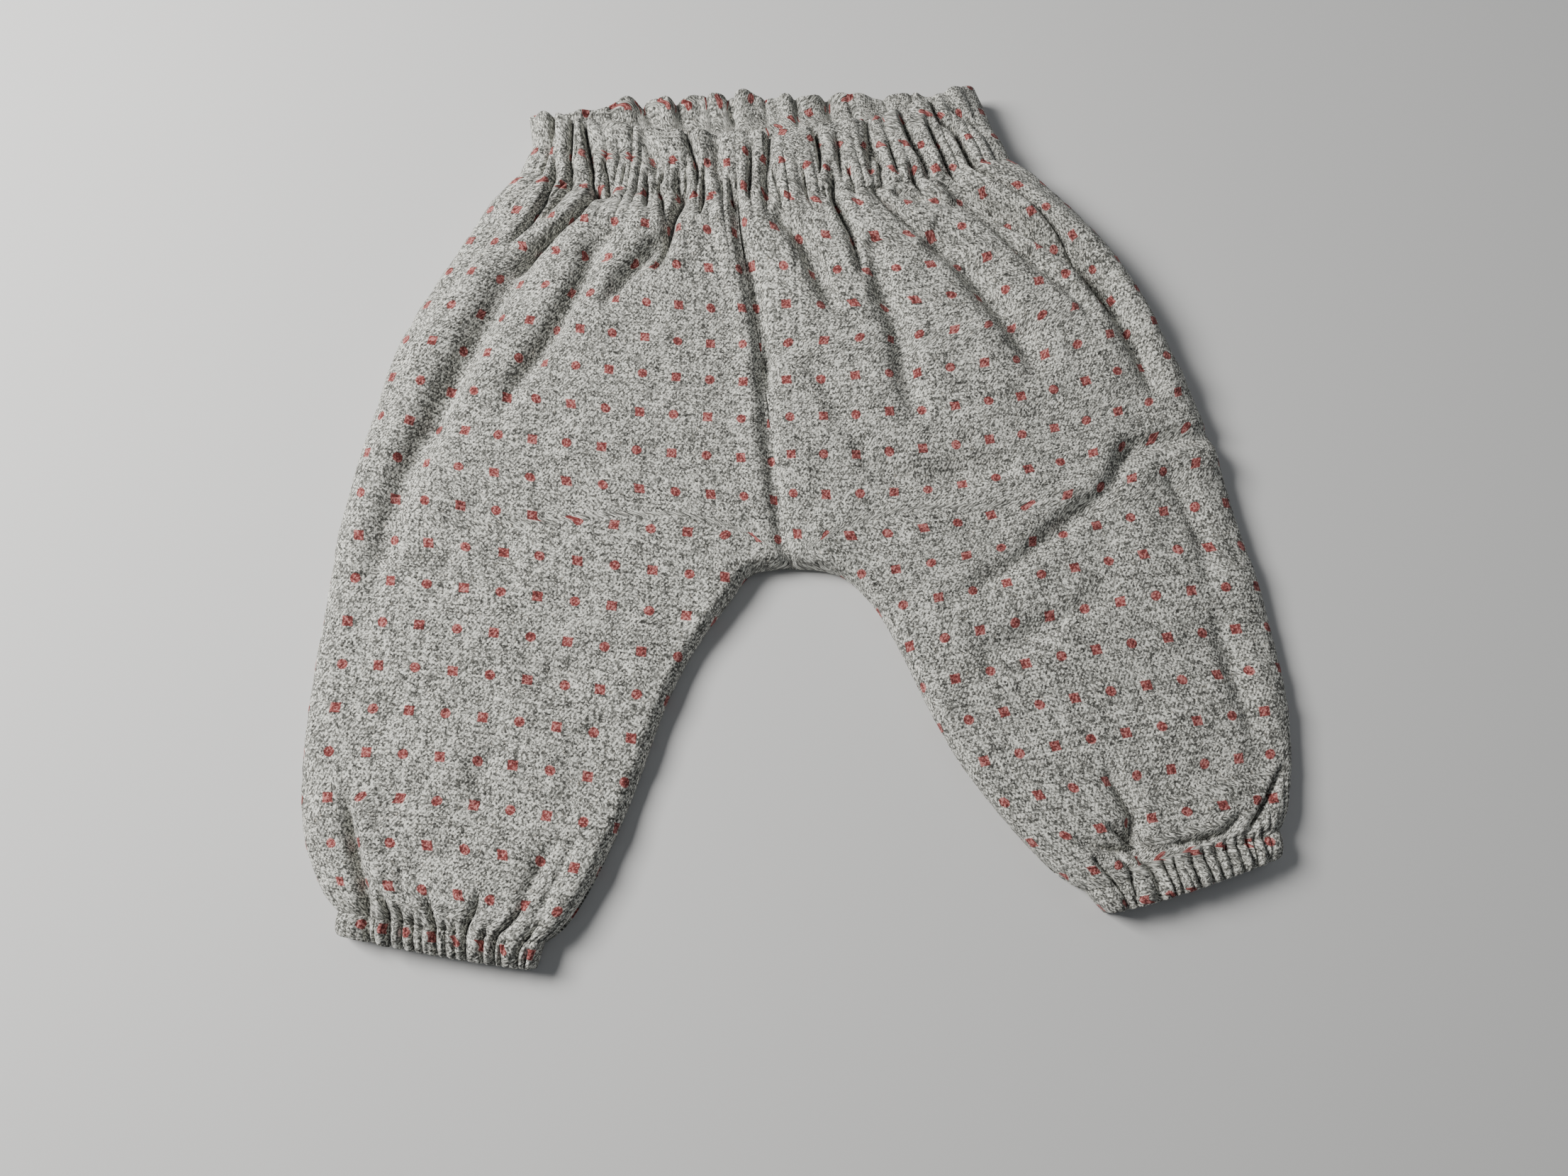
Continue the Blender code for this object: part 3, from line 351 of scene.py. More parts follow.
# Those on the inner face of the back frill, which looks up out of the waist.
BACK_VALLEYS = rows_of(
    Valley,
    ("back_frill_a", 1.4, 3.2, 1, 0.2, 3, 0, ((-69.6, 182.8), (-67.2, 178.3), (-64.9, 174.5))),
    ("back_frill_b", 1.5, 4.8, 1, 0.4, 4, 0, ((-57.7, 188.2), (-55.3, 183.5), (-51.9, 178.6),
     (-49.7, 173.2))),
    ("back_frill_c", 1.5, 4.8, 1, 0.4, 4, 0, ((-44.8, 189.2), (-43, 184.1), (-38.5, 178.6),
     (-36.3, 173.2))),
    ("back_frill_d", 1.3, 2.9, 1, 0.4, 3, 0, ((-32.7, 189.2), (-31.5, 184.1), (-29.7, 176.4))),
    ("back_frill_e", 1.4, 4.3, 1, 0.4, 4, 0, ((-24.5, 190.5), (-23.1, 186), (-20.8, 179.6),
     (-19, 173.2))),
    ("back_frill_f", 1.2, 2.4, 1, 0.2, 2, 0, ((-10.7, 195), (-9.9, 189.2), (-9, 179.6))),
    ("back_frill_g", 1.3, 3.8, 1, 0.4, 4, 0, ((1.4, 193.7), (2.4, 188.6), (3.1, 182.1), (3.3, 174.8))),
    ("back_frill_h", 1.7, 5.1, 1, 0.6, 5, 0, ((14.1, 193.7), (15.5, 188.6), (17.7, 182.8), (19, 176.4))),
    ("back_frill_i", 1.4, 3.8, 0.4, 0.6, 3, 0, ((23.1, 190.5), (25, 186), (26.9, 179.6))),
    ("back_frill_j", 1.3, 2.9, 1, 0.3, 3, 0, ((37, 193.7), (38.3, 190.5), (41, 184.7))),
    ("back_frill_k", 1.3, 3.2, 1, 0.3, 3, 0, ((47.2, 196.3), (48.5, 192.4), (50.6, 186.6))))

PATH_SAMPLES = 4              # points to each stretch of a valley's path
OVERRUN = 5.0                 # how far a valley runs on past an end that is fully deep
VALLEY_REACH = 5.5            # how far its effect goes, in its widths
SWELL = 0.6                   # how fast its depth grows from its ends: less is faster
ROLL_PLACE = 2.5              # middle and width of the roll beside it, in its widths
ROLL_WIDTH = 1.6
HIDDEN_WIDTH = 0.7            # width of the bell over which it hides cloth, in its widths
HIDDEN_AREA = 1.24            # area of that bell, with a height of 1
EDGE_REACH = 4.5              # how near a layer's edge the charted valleys get shallower,
EDGE_SHARE = 0.45             # and the share that is kept there

# ---------------------------------------------------------------- gathers and dents
WAIST_DEPTH = 1.25            # gathers at the channel and how far their folds reach
WAIST_REACH = 24.0
FRONT_SHARE = 0.6             # of that on the front, where the valleys are charted one by one
ANKLE_DEPTH = 1.05
ANKLE_REACH = 11.0
ANKLE_SHARE = 0.5             # the same at the ankles
CUFF_GATHERS = 17             # across the front or the back of a cuff
GATHER_CREST = 0.5            # crests and valleys of the gathers, for a depth of 1
GATHER_VALLEY = 1.7
LEAST_REACH = 2.0             # no valley of the gathers reaches less far
BACK_SEED = 4                 # added to a seed, so that the back's gathers don't repeat
BACK_ANKLE_SEED = 6           # the front's
BACK_CUFF_SEED = 3
CUFF_BULGE = 0.5              # how much a ring swells between its two ends
CHANNEL_BULGE = 0.45
BULGE_POWER = 0.6
FRILL_FRONT = 1.5             # how far the waves of the frill's edge stand out in front
FRILL_CREST = 0.9             # their crests and valleys, for a height and strength of 1
FRILL_VALLEY = 2.2
BACK_LIFT = 6.0               # how far the back frill stands off the table at its edge

# The size of what varies from gather to gather: a middle value, then waves of the
# gather's number, each with a height, a step to each gather and a share of the seed.
GATHER_STRENGTH = (1.0, (0.32, 2.3, 1), (0.2, 5.9, 2))
GATHER_LENGTH = (1.15, (0.6, 1.9, 1), (0.32, 4.7, 2))
FRILL_STRENGTH = (1.0, (0.45, 2.1, 1), (0.25, 5.3, 1))
# The same along a share across a section, with the number of waves across it as the step.
FRILL_DRIFT = (0.0, (0.16, 2.3, 1), (0.10, 5.1, 2))
FRILL_SLANT = (0.0, (0.35, 1.3, 1))
FRILL_SCALLOP = (0.0, (0.9, 2.7, 1), (0.6, 5.9, 0))
BACK_ROLLS = (1.0, (0.22, 4.3, 1), (0.1, 9.7, 0))

# Soft dents: height, wavelength and seed; how far they keep from the channel, the ankle
# and a layer's edges; and the cloth's own fine unevenness.
DENTS = ((0.9, 46.0, 11), (0.35, 17.0, 12))
DENT_CLEARANCE = (16.0, 12.0, 9.0)
UNEVENNESS = (0.16, 6.0, 13)

LEAST_TAKEN = 0.03            # weight of the flat cloth when its spare length is shared out
CUFF_LEAST_TAKEN = 0.04

# ---------------------------------------------------------------- how fine the cloth is
FRONT_COLUMNS = 192           # faces across a half
BACK_COLUMNS = 72
RING_COLUMNS = 10             # faces to a gather on the rings
CHANNEL_ROWS = 11             # sections of the rings
FRILL_ROWS = 15
CUFF_ROWS = 11
ROW_SPACING = 1.95            # between the halves' sections
GATHERED_SPACING = 1.35       # between the sections nearest the channel and the cuff,
GATHERED_SECTIONS = 3         # this many at each end
CROWDING = 0.6                # how far columns are drawn to a section's two edges,
CROWDING_REACH = 60.0         # in full from this far below the channel
HEM_ANGLES = np.linspace(0, math.pi, 8)[1:-1]  # of the points over a hem
SHARP_ANGLE = 70.0            # degrees between faces that are still shaded as one

TINY = 1e-6
ON_LINE = 0.02                # a point this near to a path counts as on it
FAR = 1000.0                  # farther than any point is from any path

# ---------------------------------------------------------------- cloth and stage
NAP_HEIGHT = 0.00006          # metres, as are the lengths below
# The flannel's materials: name, whether it is printed, and how its fibres lie.
CLOTHS = (("printed_flannel_left", True, -0.2), ("printed_flannel_right", True, 0.08),
          ("flannel_inside", False, 0.3))
FLOOR_REACH = 1.6
LIGHT_SIZE = 0.40
KEY_PLACE = (-0.70, 0.20, 0.64)
KEY_COLOUR = (1.0, 0.985, 0.95)
FILL_PLACE = (0.62, 0.22, 0.72)
FILL_COLOUR = (0.97, 0.98, 1.0)
ROOM_COLOUR = (0.90, 0.95, 1.0, 1.0)
CAMERA_PLACE = (-0.00479, -0.13781, 0.414)
CAMERA_TILT = 14.0            # degrees from straight down


# ================================================================ numbers and curves
def column(table, *names):
    """Named columns of a table as an array."""
    values = np.array([[getattr(row, name) for name in names] for row in table], dtype=float)
    return values[:, 0] if len(names) == 1 else values


def through_rows(values, place):
    """Smooth curve through a table's rows: the Catmull-Rom cubic at fractional row numbers."""
    last = len(values) - 1
    row = np.clip(np.floor(place).astype(int), 0, last - 1)
    t = (place - row)[:, None]
    before, here = values[np.clip(row - 1, 0, last)], values[row]
    after, beyond = values[row + 1], values[np.clip(row + 2, 0, last)]
    return 0.5 * (2 * here + (after - before) * t
                  + (2 * before - 5 * here + 4 * after - beyond) * t ** 2
                  + (3 * here - before - 3 * after + beyond) * t ** 3)


def nearest_on_path(points, path):
    """For each plan point: distance to a polyline, its side (left of it is positive), the
    unit vector away from it, and the share along it.  The segments are taken one by one."""
    path = path[np.append(True, np.hypot(*np.diff(path, axis=0).T) > TINY)]
    best = np.full(len(points), FAR)
    side = np.ones(len(points))
    away = np.zeros((len(points), 2))
    along = np.zeros(len(points))
    for number, (start, end) in enumerate(zip(path[:-1], path[1:])):
        run = end - start
        length = np.hypot(*run)
        share = np.clip(((points - start) @ run) / length ** 2, 0.0, 1.0)
        offset = points - start - share[:, None] * run
        distance = np.hypot(offset[:, 0], offset[:, 1])
        nearer = distance < best
        normal = np.array([-run[1], run[0]]) / length
        best[nearer] = distance[nearer]
        side[nearer] = np.sign((offset @ normal)[nearer] + TINY)
        direction = offset / np.maximum(distance, TINY)[:, None]
        direction[distance < ON_LINE] = normal
        away[nearer] = direction[nearer]
        along[nearer] = ((number + share) / (len(path) - 1))[nearer]
    return best, side, away, along


def soft_noise(points, wave, seed, octaves=2, directions=7, gain=2.2):
    """Smooth uneven field of about -1 to 1: a sum of sines in seeded directions, with
    lengths of 0.7 to 1.4 waves, each octave half as long as the last and 0.55 as strong."""
    random = np.random.default_rng(seed)
    total = np.zeros(points.shape[:-1])
    weight = 0.0
    for octave in range(octaves):
        strength = 0.55 ** octave
        for _ in range(directions):
            angle = random.uniform(0, 2 * math.pi)
            length = wave / 2 ** octave * random.uniform(0.7, 1.4)
            phase = random.uniform(0, 2 * math.pi)
            along = math.cos(angle) * points[..., 0] + math.sin(angle) * points[..., 1]
            total += strength * np.sin(2 * math.pi / length * along + phase)
            weight += strength
    return total / weight * gain


def varied(number, seed, middle, *waves):
    """A value that varies with a number: a middle value and sines of the number, each with
    a height, a step and a share of the seed in its phase."""
    value = middle
    for height, step, share in waves:
        value = value + height * np.sin(step * number + share * seed)
    return value


def uneven(x):
    """Share across a section, with the gathers wider here and narrower there: waves of
    0.010, three to a section, and of 0.006, seven to a section and one radian on."""
    long_waves = np.sin(2 * math.pi * 3 * x)
    short_waves = np.sin(2 * math.pi * 7 * x + 1.0) - math.sin(1.0)
    return x + 0.010 * long_waves + 0.006 * short_waves


def crowd(x, crowding):
    """Columns drawn towards both ends of a section, where its edges turn."""
    return x - crowding * np.sin(2 * math.pi * x) / (2 * math.pi)


def round_angle(distance, width):
    """Angle round a folded edge: 0 at its tip, 90 degrees once clear of it."""
    return np.arccos(1.0 - np.clip(distance / width, 0.0, 1.0))


# ================================================================ folds and gathers
def valley_path(valley):
    """Smooth curve through a valley's points, carried on past an end that is still deep."""
    points = np.array(valley.path, dtype=float)
    last = len(points) - 1
    smooth = through_rows(points, np.linspace(0, last, PATH_SAMPLES * last + 1))
    ends = []
    for tip, before, share in ((smooth[0], smooth[1], valley.start), (smooth[-1], smooth[-2], valley.end)):
        run = tip - before
        ends.append(tip + run / np.hypot(*run) * OVERRUN * share)
    return np.concatenate([ends[:1], smooth, ends[1:]])


def valley_relief(plan, table):
    """Relief of the charted valleys at a grid of plan points, and the cloth they hide.

    Across a valley the trough is -depth * exp(-|d / width| ** n), rounder the wider it is,
    with n = 0.9 + 0.3 * width and at most 2, and the roll beside it is a bell two and a
    half widths away.  Along it, with a share a of its length, sin(pi * a) ** 0.6 swells the
    depth from one end's share to the full depth, and it falls to the other end's.
    """
    points = plan.reshape(-1, 2)
    relief = np.zeros(len(points))
    hidden = np.zeros(len(points))
    for valley in table:
        width = valley.width
        path = valley_path(valley)
        low, high = path.min(axis=0) - VALLEY_REACH * width, path.max(axis=0) + VALLEY_REACH * width
        near = np.flatnonzero(((points > low) & (points < high)).all(axis=1))
        if len(near) == 0:
            continue
        d, side, _, a = nearest_on_path(points[near], path)
        swell = np.sin(math.pi * np.clip(a, 0.0, 1.0)) ** SWELL
        ends = np.where(a < 0.5, valley.start, valley.end)
        fade = swell + (1 - swell) * ends
        trough = np.exp(-(d / width) ** min(2.0, 0.9 + 0.3 * width))
        beside = side * math.copysign(1.0, valley.roll) * d
        roll = np.exp(-((beside - ROLL_PLACE * width) / (ROLL_WIDTH * width)) ** 2)
        relief[near] += fade * (abs(valley.roll) * roll - valley.depth * trough)
        taken = np.exp(-(d / (HIDDEN_WIDTH * width)) ** 2) / (HIDDEN_AREA * width)
        hidden[near] += fade * valley.hidden * taken
    return relief.reshape(plan.shape[:2]), hidden.reshape(plan.shape[:2])


def gathers(phase, away, seed, reach, depth):
    """Relief of the gathers at a seam: crests stay level and each valley has its own
    strength and length, so that they're deep and narrow at the seam and die out apart.

    Across the gathers a valley is 1 - |sin(pi * phase)| ** 0.75, and every second one
    reaches half as far.  Away from the seam crests fade as exp(-(distance / reach) ** 1.3)
    and valleys as exp(-(distance / their own reach) ** 1.4).
    """
    number = np.round(phase)
    valley = 1.0 - np.abs(np.sin(math.pi * phase)) ** 0.75
    minor = np.where(number % 2 == 1, 0.5, 1.0)
    away = np.maximum(away, 0.0)[:, None]
    crest = GATHER_CREST * np.exp(-(away / reach) ** 1.3)
    length = minor * reach * varied(number, seed, *GATHER_LENGTH)
    left = np.exp(-(away / np.maximum(length, LEAST_REACH)[None, :]) ** 1.4)
    strength = varied(number, seed, *GATHER_STRENGTH)
    return depth * (crest - GATHER_VALLEY * strength[None, :] * left * valley[None, :])


def puckered(relief):
    """Cloth taken up in the bottoms of the gathers: half of their depth's fifth power."""
    return 0.5 * np.maximum(-relief, 0.0) ** 5


# ================================================================ layers of cloth
Sections = namedtuple("Sections", "inner side curve height")
Layer = namedtuple("Layer", "outer normal")


def sections_of(table, inner, side, place):
    """Sections at fractional row numbers, with their two ends worked out already."""
    curve = through_rows(column(table, "bend", "bow"), place)
    return Sections(inner, side, curve, through_rows(column(table, "height")[:, None], place)[:, 0])


def section_plan(sections, q):
    """Plan points of the sections: straight in x; in y a bend to the side fold and a bow."""
    inner, side = sections.inner, sections.side
    bend, bow = sections.curve[:, 0:1], sections.curve[:, 1:2]
    x = inner[:, 0:1] + (side[:, 0:1] - inner[:, 0:1]) * q
    y = inner[:, 1:2] + (side[:, 1:2] - inner[:, 1:2]) * q ** bend + bow * q * (1.0 - q) ** 3
    return np.stack([x, y], axis=2)


def base_layer(sections, q, front, inseam=None, upright=0.0, tip_gap=0.0):
    """Outer face and outward directions of a front or back layer, before its folds.

    From the tip of each folded edge the front rises and the back sinks along a quarter
    ellipse, and the two edges' curves are multiplied.  Where upright is 1 a section turns
    at the inseam in its own upright plane, as the cuff does.
    """
    plan = section_plan(sections, q)
    run = sections.side - sections.inner
    width = np.linalg.norm(run, axis=1)[:, None]
    toward_side = run / width
    distance = np.full(q.shape, FAR)
    direction = np.zeros(plan.shape)
    if inseam is not None:
        near, _, away, _ = nearest_on_path(plan.reshape(-1, 2), inseam)
        distance, direction = near.reshape(q.shape), away.reshape(plan.shape)
    share = np.broadcast_to(np.asarray(upright, dtype=float), (len(q),))[:, None]
    distance = distance * (1 - share) + (q * width) * share
    direction = direction * (1 - share[:, :, None]) + toward_side[:, None, :] * share[:, :, None]
    side_angle = round_angle((1.0 - q) * width, SIDE_ROUND if front else SIDE_ROUND_BACK)
    inseam_angle = round_angle(distance, INSEAM_ROUND if front else INSEAM_ROUND_BACK)
    rise = np.sin(side_angle) * np.sin(inseam_angle)
    height = sections.height[:, None]
    inseam_tip = INSEAM_TIP + tip_gap
    tip = inseam_tip + (SIDE_TIP * height - inseam_tip) * q
    if front:
        z = tip + (height * (1.0 - CROWN * (2.0 * q - 1.0) ** 2) - tip) * rise
    else:
        z = tip * (1.0 - rise)
    sideways = np.cos(side_angle)[:, :, None] * toward_side[:, None, :] \
        - np.cos(inseam_angle)[:, :, None] * direction
    upwards = rise if front else -rise
    normal = np.concatenate([sideways, upwards[:, :, None]], axis=2)
    normal /= np.linalg.norm(normal, axis=2)[:, :, None]
    return Layer(np.concatenate([plan, z[:, :, None]], axis=2), normal)


def press(layer, relief):
    """Move a layer along its outward directions."""
    return Layer(layer.outer + layer.normal * relief[:, :, None], layer.normal)


def edge_clearance(sections, q, reach):
    """0 at the centre and at the side fold, 1 once a reach away from both."""
    width = np.linalg.norm(sections.side - sections.inner, axis=1)[:, None]
    return np.sin(round_angle(np.minimum(q, 1.0 - q) * width, reach))


def charted(layer, sections, q):
    """The charted valleys on a front layer, shallower at its two edges, and the cloth they
    hide."""
    relief, hidden = valley_relief(layer.outer[:, :, :2], VALLEYS)
    return relief * np.maximum(edge_clearance(sections, q, EDGE_REACH), EDGE_SHARE), hidden


# ================================================================ the print's place
def print_row(plan, half):
    """Row number of the print at plan points, between the rows of dots of the table, each
    a cubic through its y at the stations."""
    x = np.clip(half.hand * plan[..., 0], *ROW_REACH)
    y = plan[..., 1]
    numbers = column(half.rows, "number")
    heights = column(half.rows, "y0", "y50", "y100", "y150")
    lines = [np.polyval(np.polyfit(ROW_STATIONS, height, 3), x) for height in heights]
    result = np.zeros(y.shape)
    last = len(numbers) - 2
    for k in range(last + 1):
        share = (y - lines[k]) / (lines[k + 1] - lines[k])
        inside = ((share >= 0) | (k == 0)) & ((share < 1) | (k == last))
        result = np.where(inside, numbers[k] + share * (numbers[k + 1] - numbers[k]), result)
    return result


def print_column(points, taken, seam, side):
    """Column number of the print across the sections of a front layer.

    Between the folds the cloth lies at its true width, and the rest of it is taken up
    in the folds, in proportion to their share.
    """
    step = np.linalg.norm(np.diff(points, axis=1), axis=2)
    span = np.linalg.norm(np.diff(points[:, :, :2], axis=1), axis=2)
    share = (taken[:, 1:] + taken[:, :-1]) / 2 * span + TINY
    share /= share.sum(axis=1)[:, None]
    spare = np.abs(side - seam) * PRINT_COLUMN - step.sum(axis=1)
    length = step + np.maximum(spare, 0.0)[:, None] * share
    along = np.concatenate([np.zeros((len(points), 1)), np.cumsum(length, axis=1)], axis=1)
    return seam[:, None] + (side - seam)[:, None] * along / along[:, -1:]


def ring_column(points, taken, columns):
    """Column number on a ring, which has the same columns at its ends in every row."""
    seam, side = (np.full(len(points), float(number)) for number in (columns.seam, columns.side))
    return print_column(points, taken, seam, side)


def section_columns(half, place):
    """The print's columns at the seam and at the side fold, at fractional row numbers."""
    names = [row.name for row in BODY + half.leg]
    at = [names.index(row.section) for row in half.columns]
    return [np.interp(place, at, column(half.columns, edge)) for edge in ("seam", "side")]


def print_grid(across, down, half):
    """Column and row numbers of the print as one grid, in step with the half's own cut."""
    return np.stack([across + half.shift, down], axis=2)


# ================================================================ meshes
Wall = namedtuple("Wall", "outer normal start_uv end_uv")


def wall_of(layers, closed):
    """One wall from layers that follow each other across: (Layer, print grid) pairs.

    The print of a face is taken at both its sides, so that it may jump at a seam.  A
    closed wall leaves out each layer's last column, which is the next layer's first, and
    an open one the first column of each layer but the first.
    """
    keep = [slice(None, -1) if closed else slice(0 if number == 0 else 1, None)
            for number in range(len(layers))]
    outer = np.concatenate([layer.outer[:, part] for part, (layer, _) in zip(keep, layers)], axis=1)
    normal = np.concatenate([layer.normal[:, part] for part, (layer, _) in zip(keep, layers)], axis=1)
    start = np.concatenate([uv[:, :-1] for _, uv in layers], axis=1)
    end = np.concatenate([uv[:, 1:] for _, uv in layers], axis=1)
    return Wall(outer, normal, start, end)


def turned(quarter):
    """A layer and its print run the other way."""
    layer, uv = quarter
    return Layer(layer.outer[:, ::-1], layer.normal[:, ::-1]), uv[:, ::-1]


def hem_turn(outer, inner):
    """Half circle over a folded hem, from the last outer section to the last inner one."""
    ahead = outer[-1] - outer[-3]
    ahead /= np.linalg.norm(ahead, axis=1)[:, None]
    centre, across = (outer[-1] + inner[-1]) / 2, (outer[-1] - inner[-1]) / 2
    radius = np.linalg.norm(across, axis=1)[:, None]
    return np.stack([centre + across * math.cos(a) + ahead * radius * math.sin(a) for a in HEM_ANGLES])


def wall_profile(wall, thickness, hem):
    """Points and print of a wall's closed profile, section by section.

    The profile runs down the outer face, round the hem if there is one, and back up the
    inner face; the print runs on over a hem.
    """
    inner = wall.outer - wall.normal * thickness
    outer = wall.outer.copy()
    sunk = np.minimum(outer[:, :, 2], 0.0)
    outer[:, :, 2] -= sunk
    inner[:, :, 2] = np.maximum(inner[:, :, 2] - sunk, 0.0)
    if not hem:
        return np.concatenate([outer, inner[::-1]]), \
            [np.concatenate([uv, uv[::-1]]) for uv in (wall.start_uv, wall.end_uv)]
    prints = []
    for uv in (wall.start_uv, wall.end_uv):
        step = np.array([0.0, thickness * math.pi / 2 / PRINT_ROW])
        step = step * np.sign((uv[-1] - uv[0])[:, 1:].mean())
        over = np.stack([uv[-1] + step * share for share in HEM_ANGLES / math.pi])
        prints.append(np.concatenate([uv, over, (2 * uv[-1] + step - uv)[::-1]]))
    return np.concatenate([outer, hem_turn(outer, inner), inner[::-1]]), prints


def rim_of(edge, count):
    """Corners of the quads that join an edge's outer points to its inner ones."""
    back = edge[::-1]
    return np.stack([edge[:count], edge[1:count + 1], back[1:count + 1], back[:count]], axis=1)


def wall_faces(shape, prints, outer_rows, closed):
    """Quads that join each section of a closed profile to the next, the print at their
    corners, and which of them are on the inner face.  An open wall gets a rim along both
    its edges, from its outer face to its inner one."""
    rows, columns = shape
    start_uv, end_uv = prints
    index = np.arange(rows * columns).reshape(rows, columns)
    here = np.arange(columns if closed else columns - 1)
    there = (here + 1) % columns
    below = np.roll(index, -1, axis=0)
    quads = np.stack([index[:, here], index[:, there], below[:, there], below[:, here]], axis=-1)
    start_below, end_below = np.roll(start_uv, -1, axis=0), np.roll(end_uv, -1, axis=0)
    corners = np.stack([start_uv, end_uv, end_below, start_below], axis=2)
    quads, corners = quads.reshape(-1, 4), corners.reshape(-1, 4, 2)
    inside = np.repeat(np.arange(rows), len(here)) >= rows - outer_rows
    if closed:
        return quads, corners, inside
    count = outer_rows - 1
    for edge, uv, turn in ((index[:, 0], start_uv[:, 0], 1), (index[:, -1], end_uv[:, -1], -1)):
        quads = np.concatenate([quads, rim_of(edge, count)[:, ::turn]])
        corners = np.concatenate([corners, rim_of(uv, count)[:, ::turn]])
    return quads, corners, np.append(inside, np.zeros(2 * count, dtype=bool))


def wall_mesh(name, node, wall, thickness, closed, materials, hem=False):
    """A cloth wall as a mesh piece, its faces turned outwards.

    The faces are turned round if the volume they enclose, a sum of triple products over
    the quads, is negative.  The second material, if there is one, goes on the inner face.
    """
    points, prints = wall_profile(wall, thickness, hem)
    quads, corners, inside = wall_faces(points.shape[:2], prints, len(wall.outer), closed)
    flat = points.reshape(-1, 3)
    a, b, c, d = (flat[quads[:, k]] for k in range(4))
    volume = np.einsum("ij,ij->i", a, np.cross(b, c) + np.cross(c, d)).sum()
    if volume < 0:
        quads, corners = quads[:, ::-1], corners[:, ::-1]
    mesh = bpy.data.meshes.new(name)
    world = (flat + CROTCH) * MM
    mesh.from_pydata(world.tolist(), [], quads.tolist())
    cloth = mesh.uv_layers.new(name="cloth")
    metres = corners * [PRINT_COLUMN * MM, PRINT_ROW * MM]
    cloth.data.foreach_set("uv", metres.astype(np.float32).reshape(-1))
    for material in materials:
        mesh.materials.append(material)
    if len(materials) > 1:
        mesh.polygons.foreach_set("material_index", inside.astype(np.int32))
    mesh.shade_smooth()
    mesh.set_sharp_from_angle(angle=math.radians(SHARP_ANGLE))
    piece = bpy.data.objects.new(name, mesh)
    bpy.context.scene.collection.objects.link(piece)
    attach(piece, "root")
    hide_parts(node)
    return piece


# ================================================================ the halves
def side_ends(half):
    """Tips of a half's side fold, in the tables' order."""
    return np.concatenate([column(BODY, *half.side), column(half.leg, "side_x", "side_y")])


def half_sections(half, back, place):
    """Sections of one half from the channel to the cuff, for its front or back layer.

    The centre seam and the inseam are two smooth curves that meet at the crotch.
    """
    seam = column(BODY, "seam_x", "seam_y") + [half.hand * SEAM_GAP / 2, 0.0]
    if back:
        seam[:, 1] += column(BODY, "lift")
    crotch = len(BODY) - 1
    inseam = np.concatenate([seam[-1:], column(half.leg, "inseam_x", "inseam_y")])
    inner = np.concatenate([
        through_rows(seam, place[place <= crotch]),
        through_rows(inseam, place[place > crotch] - crotch)])
    return sections_of(BODY + half.leg, inner, through_rows(side_ends(half), place), place)


def half_places(half):
    """Fractional section numbers, close together at the channel and at the cuff."""
    inner = np.concatenate([column(BODY, "seam_x", "seam_y"), column(half.leg, "inseam_x", "inseam_y")])
    steps = [np.linalg.norm(np.diff(ends, axis=0), axis=1) for ends in (inner, side_ends(half))]
    longer = np.maximum(*steps)
    spacing = np.full(len(longer), ROW_SPACING)
    spacing[:GATHERED_SECTIONS] = GATHERED_SPACING
    spacing[-GATHERED_SECTIONS:] = GATHERED_SPACING
    counts = np.maximum(1, np.round(longer / spacing).astype(int))
    parts = [row + np.arange(count) / count for row, count in enumerate(counts)]
    return np.append(np.concatenate(parts), float(len(counts)))


def inseam_path():
    """The whole arch, from the left cuff over the crotch to the right cuff."""
    crotch = len(BODY) - 1
    left, right = (half_sections(half, False, places[places >= crotch]).inner
                   for half, places in ((LEFT, half_places(LEFT)), (RIGHT, half_places(RIGHT))))
    return np.concatenate([left[::-1], [[0.0, 0.0]], right])


def half_front(sections, arch, x, q, half, upright):
    """Front layer of a half with its relief, and the share of cloth each place takes up."""
    base = base_layer(sections, q, True, arch, upright, SEAM_GAP / 2)
    plan = base.outer[:, :, :2]
    seam_y = sections.inner[:, 1]
    drop, climb = seam_y[0] - seam_y, seam_y - seam_y[-1]
    waist = gathers(x * half.gathers, drop, half.hand, WAIST_REACH, FRONT_SHARE * WAIST_DEPTH)
    ankle = gathers(x * CUFF_GATHERS, climb, half.seed, ANKLE_REACH, ANKLE_SHARE * ANKLE_DEPTH)
    valleys, hidden = charted(base, sections, q)
    from_waist, from_ankle, from_edge = DENT_CLEARANCE
    near_ends = np.clip(np.minimum(drop / from_waist, climb / from_ankle), 0.0, 1.0)
    dents = sum(height * soft_noise(plan, wave, seed) for height, wave, seed in DENTS)
    dents *= edge_clearance(sections, q, from_edge) * near_ends[:, None]
    breadth = np.linalg.norm(sections.side - sections.inner, axis=1)[:, None]
    seam = SEAM_DIP * np.exp(-(q * breadth / SEAM_WIDTH) ** 1.3)
    seam = seam * (np.arange(len(q)) < np.argmax(seam_y <= 0.0))[:, None]
    relief = waist + ankle + valleys + dents - seam
    height, wave, seed = UNEVENNESS
    relief += height * soft_noise(plan, wave, seed)
    return press(base, relief), LEAST_TAKEN + hidden + puckered(waist) + puckered(ankle)


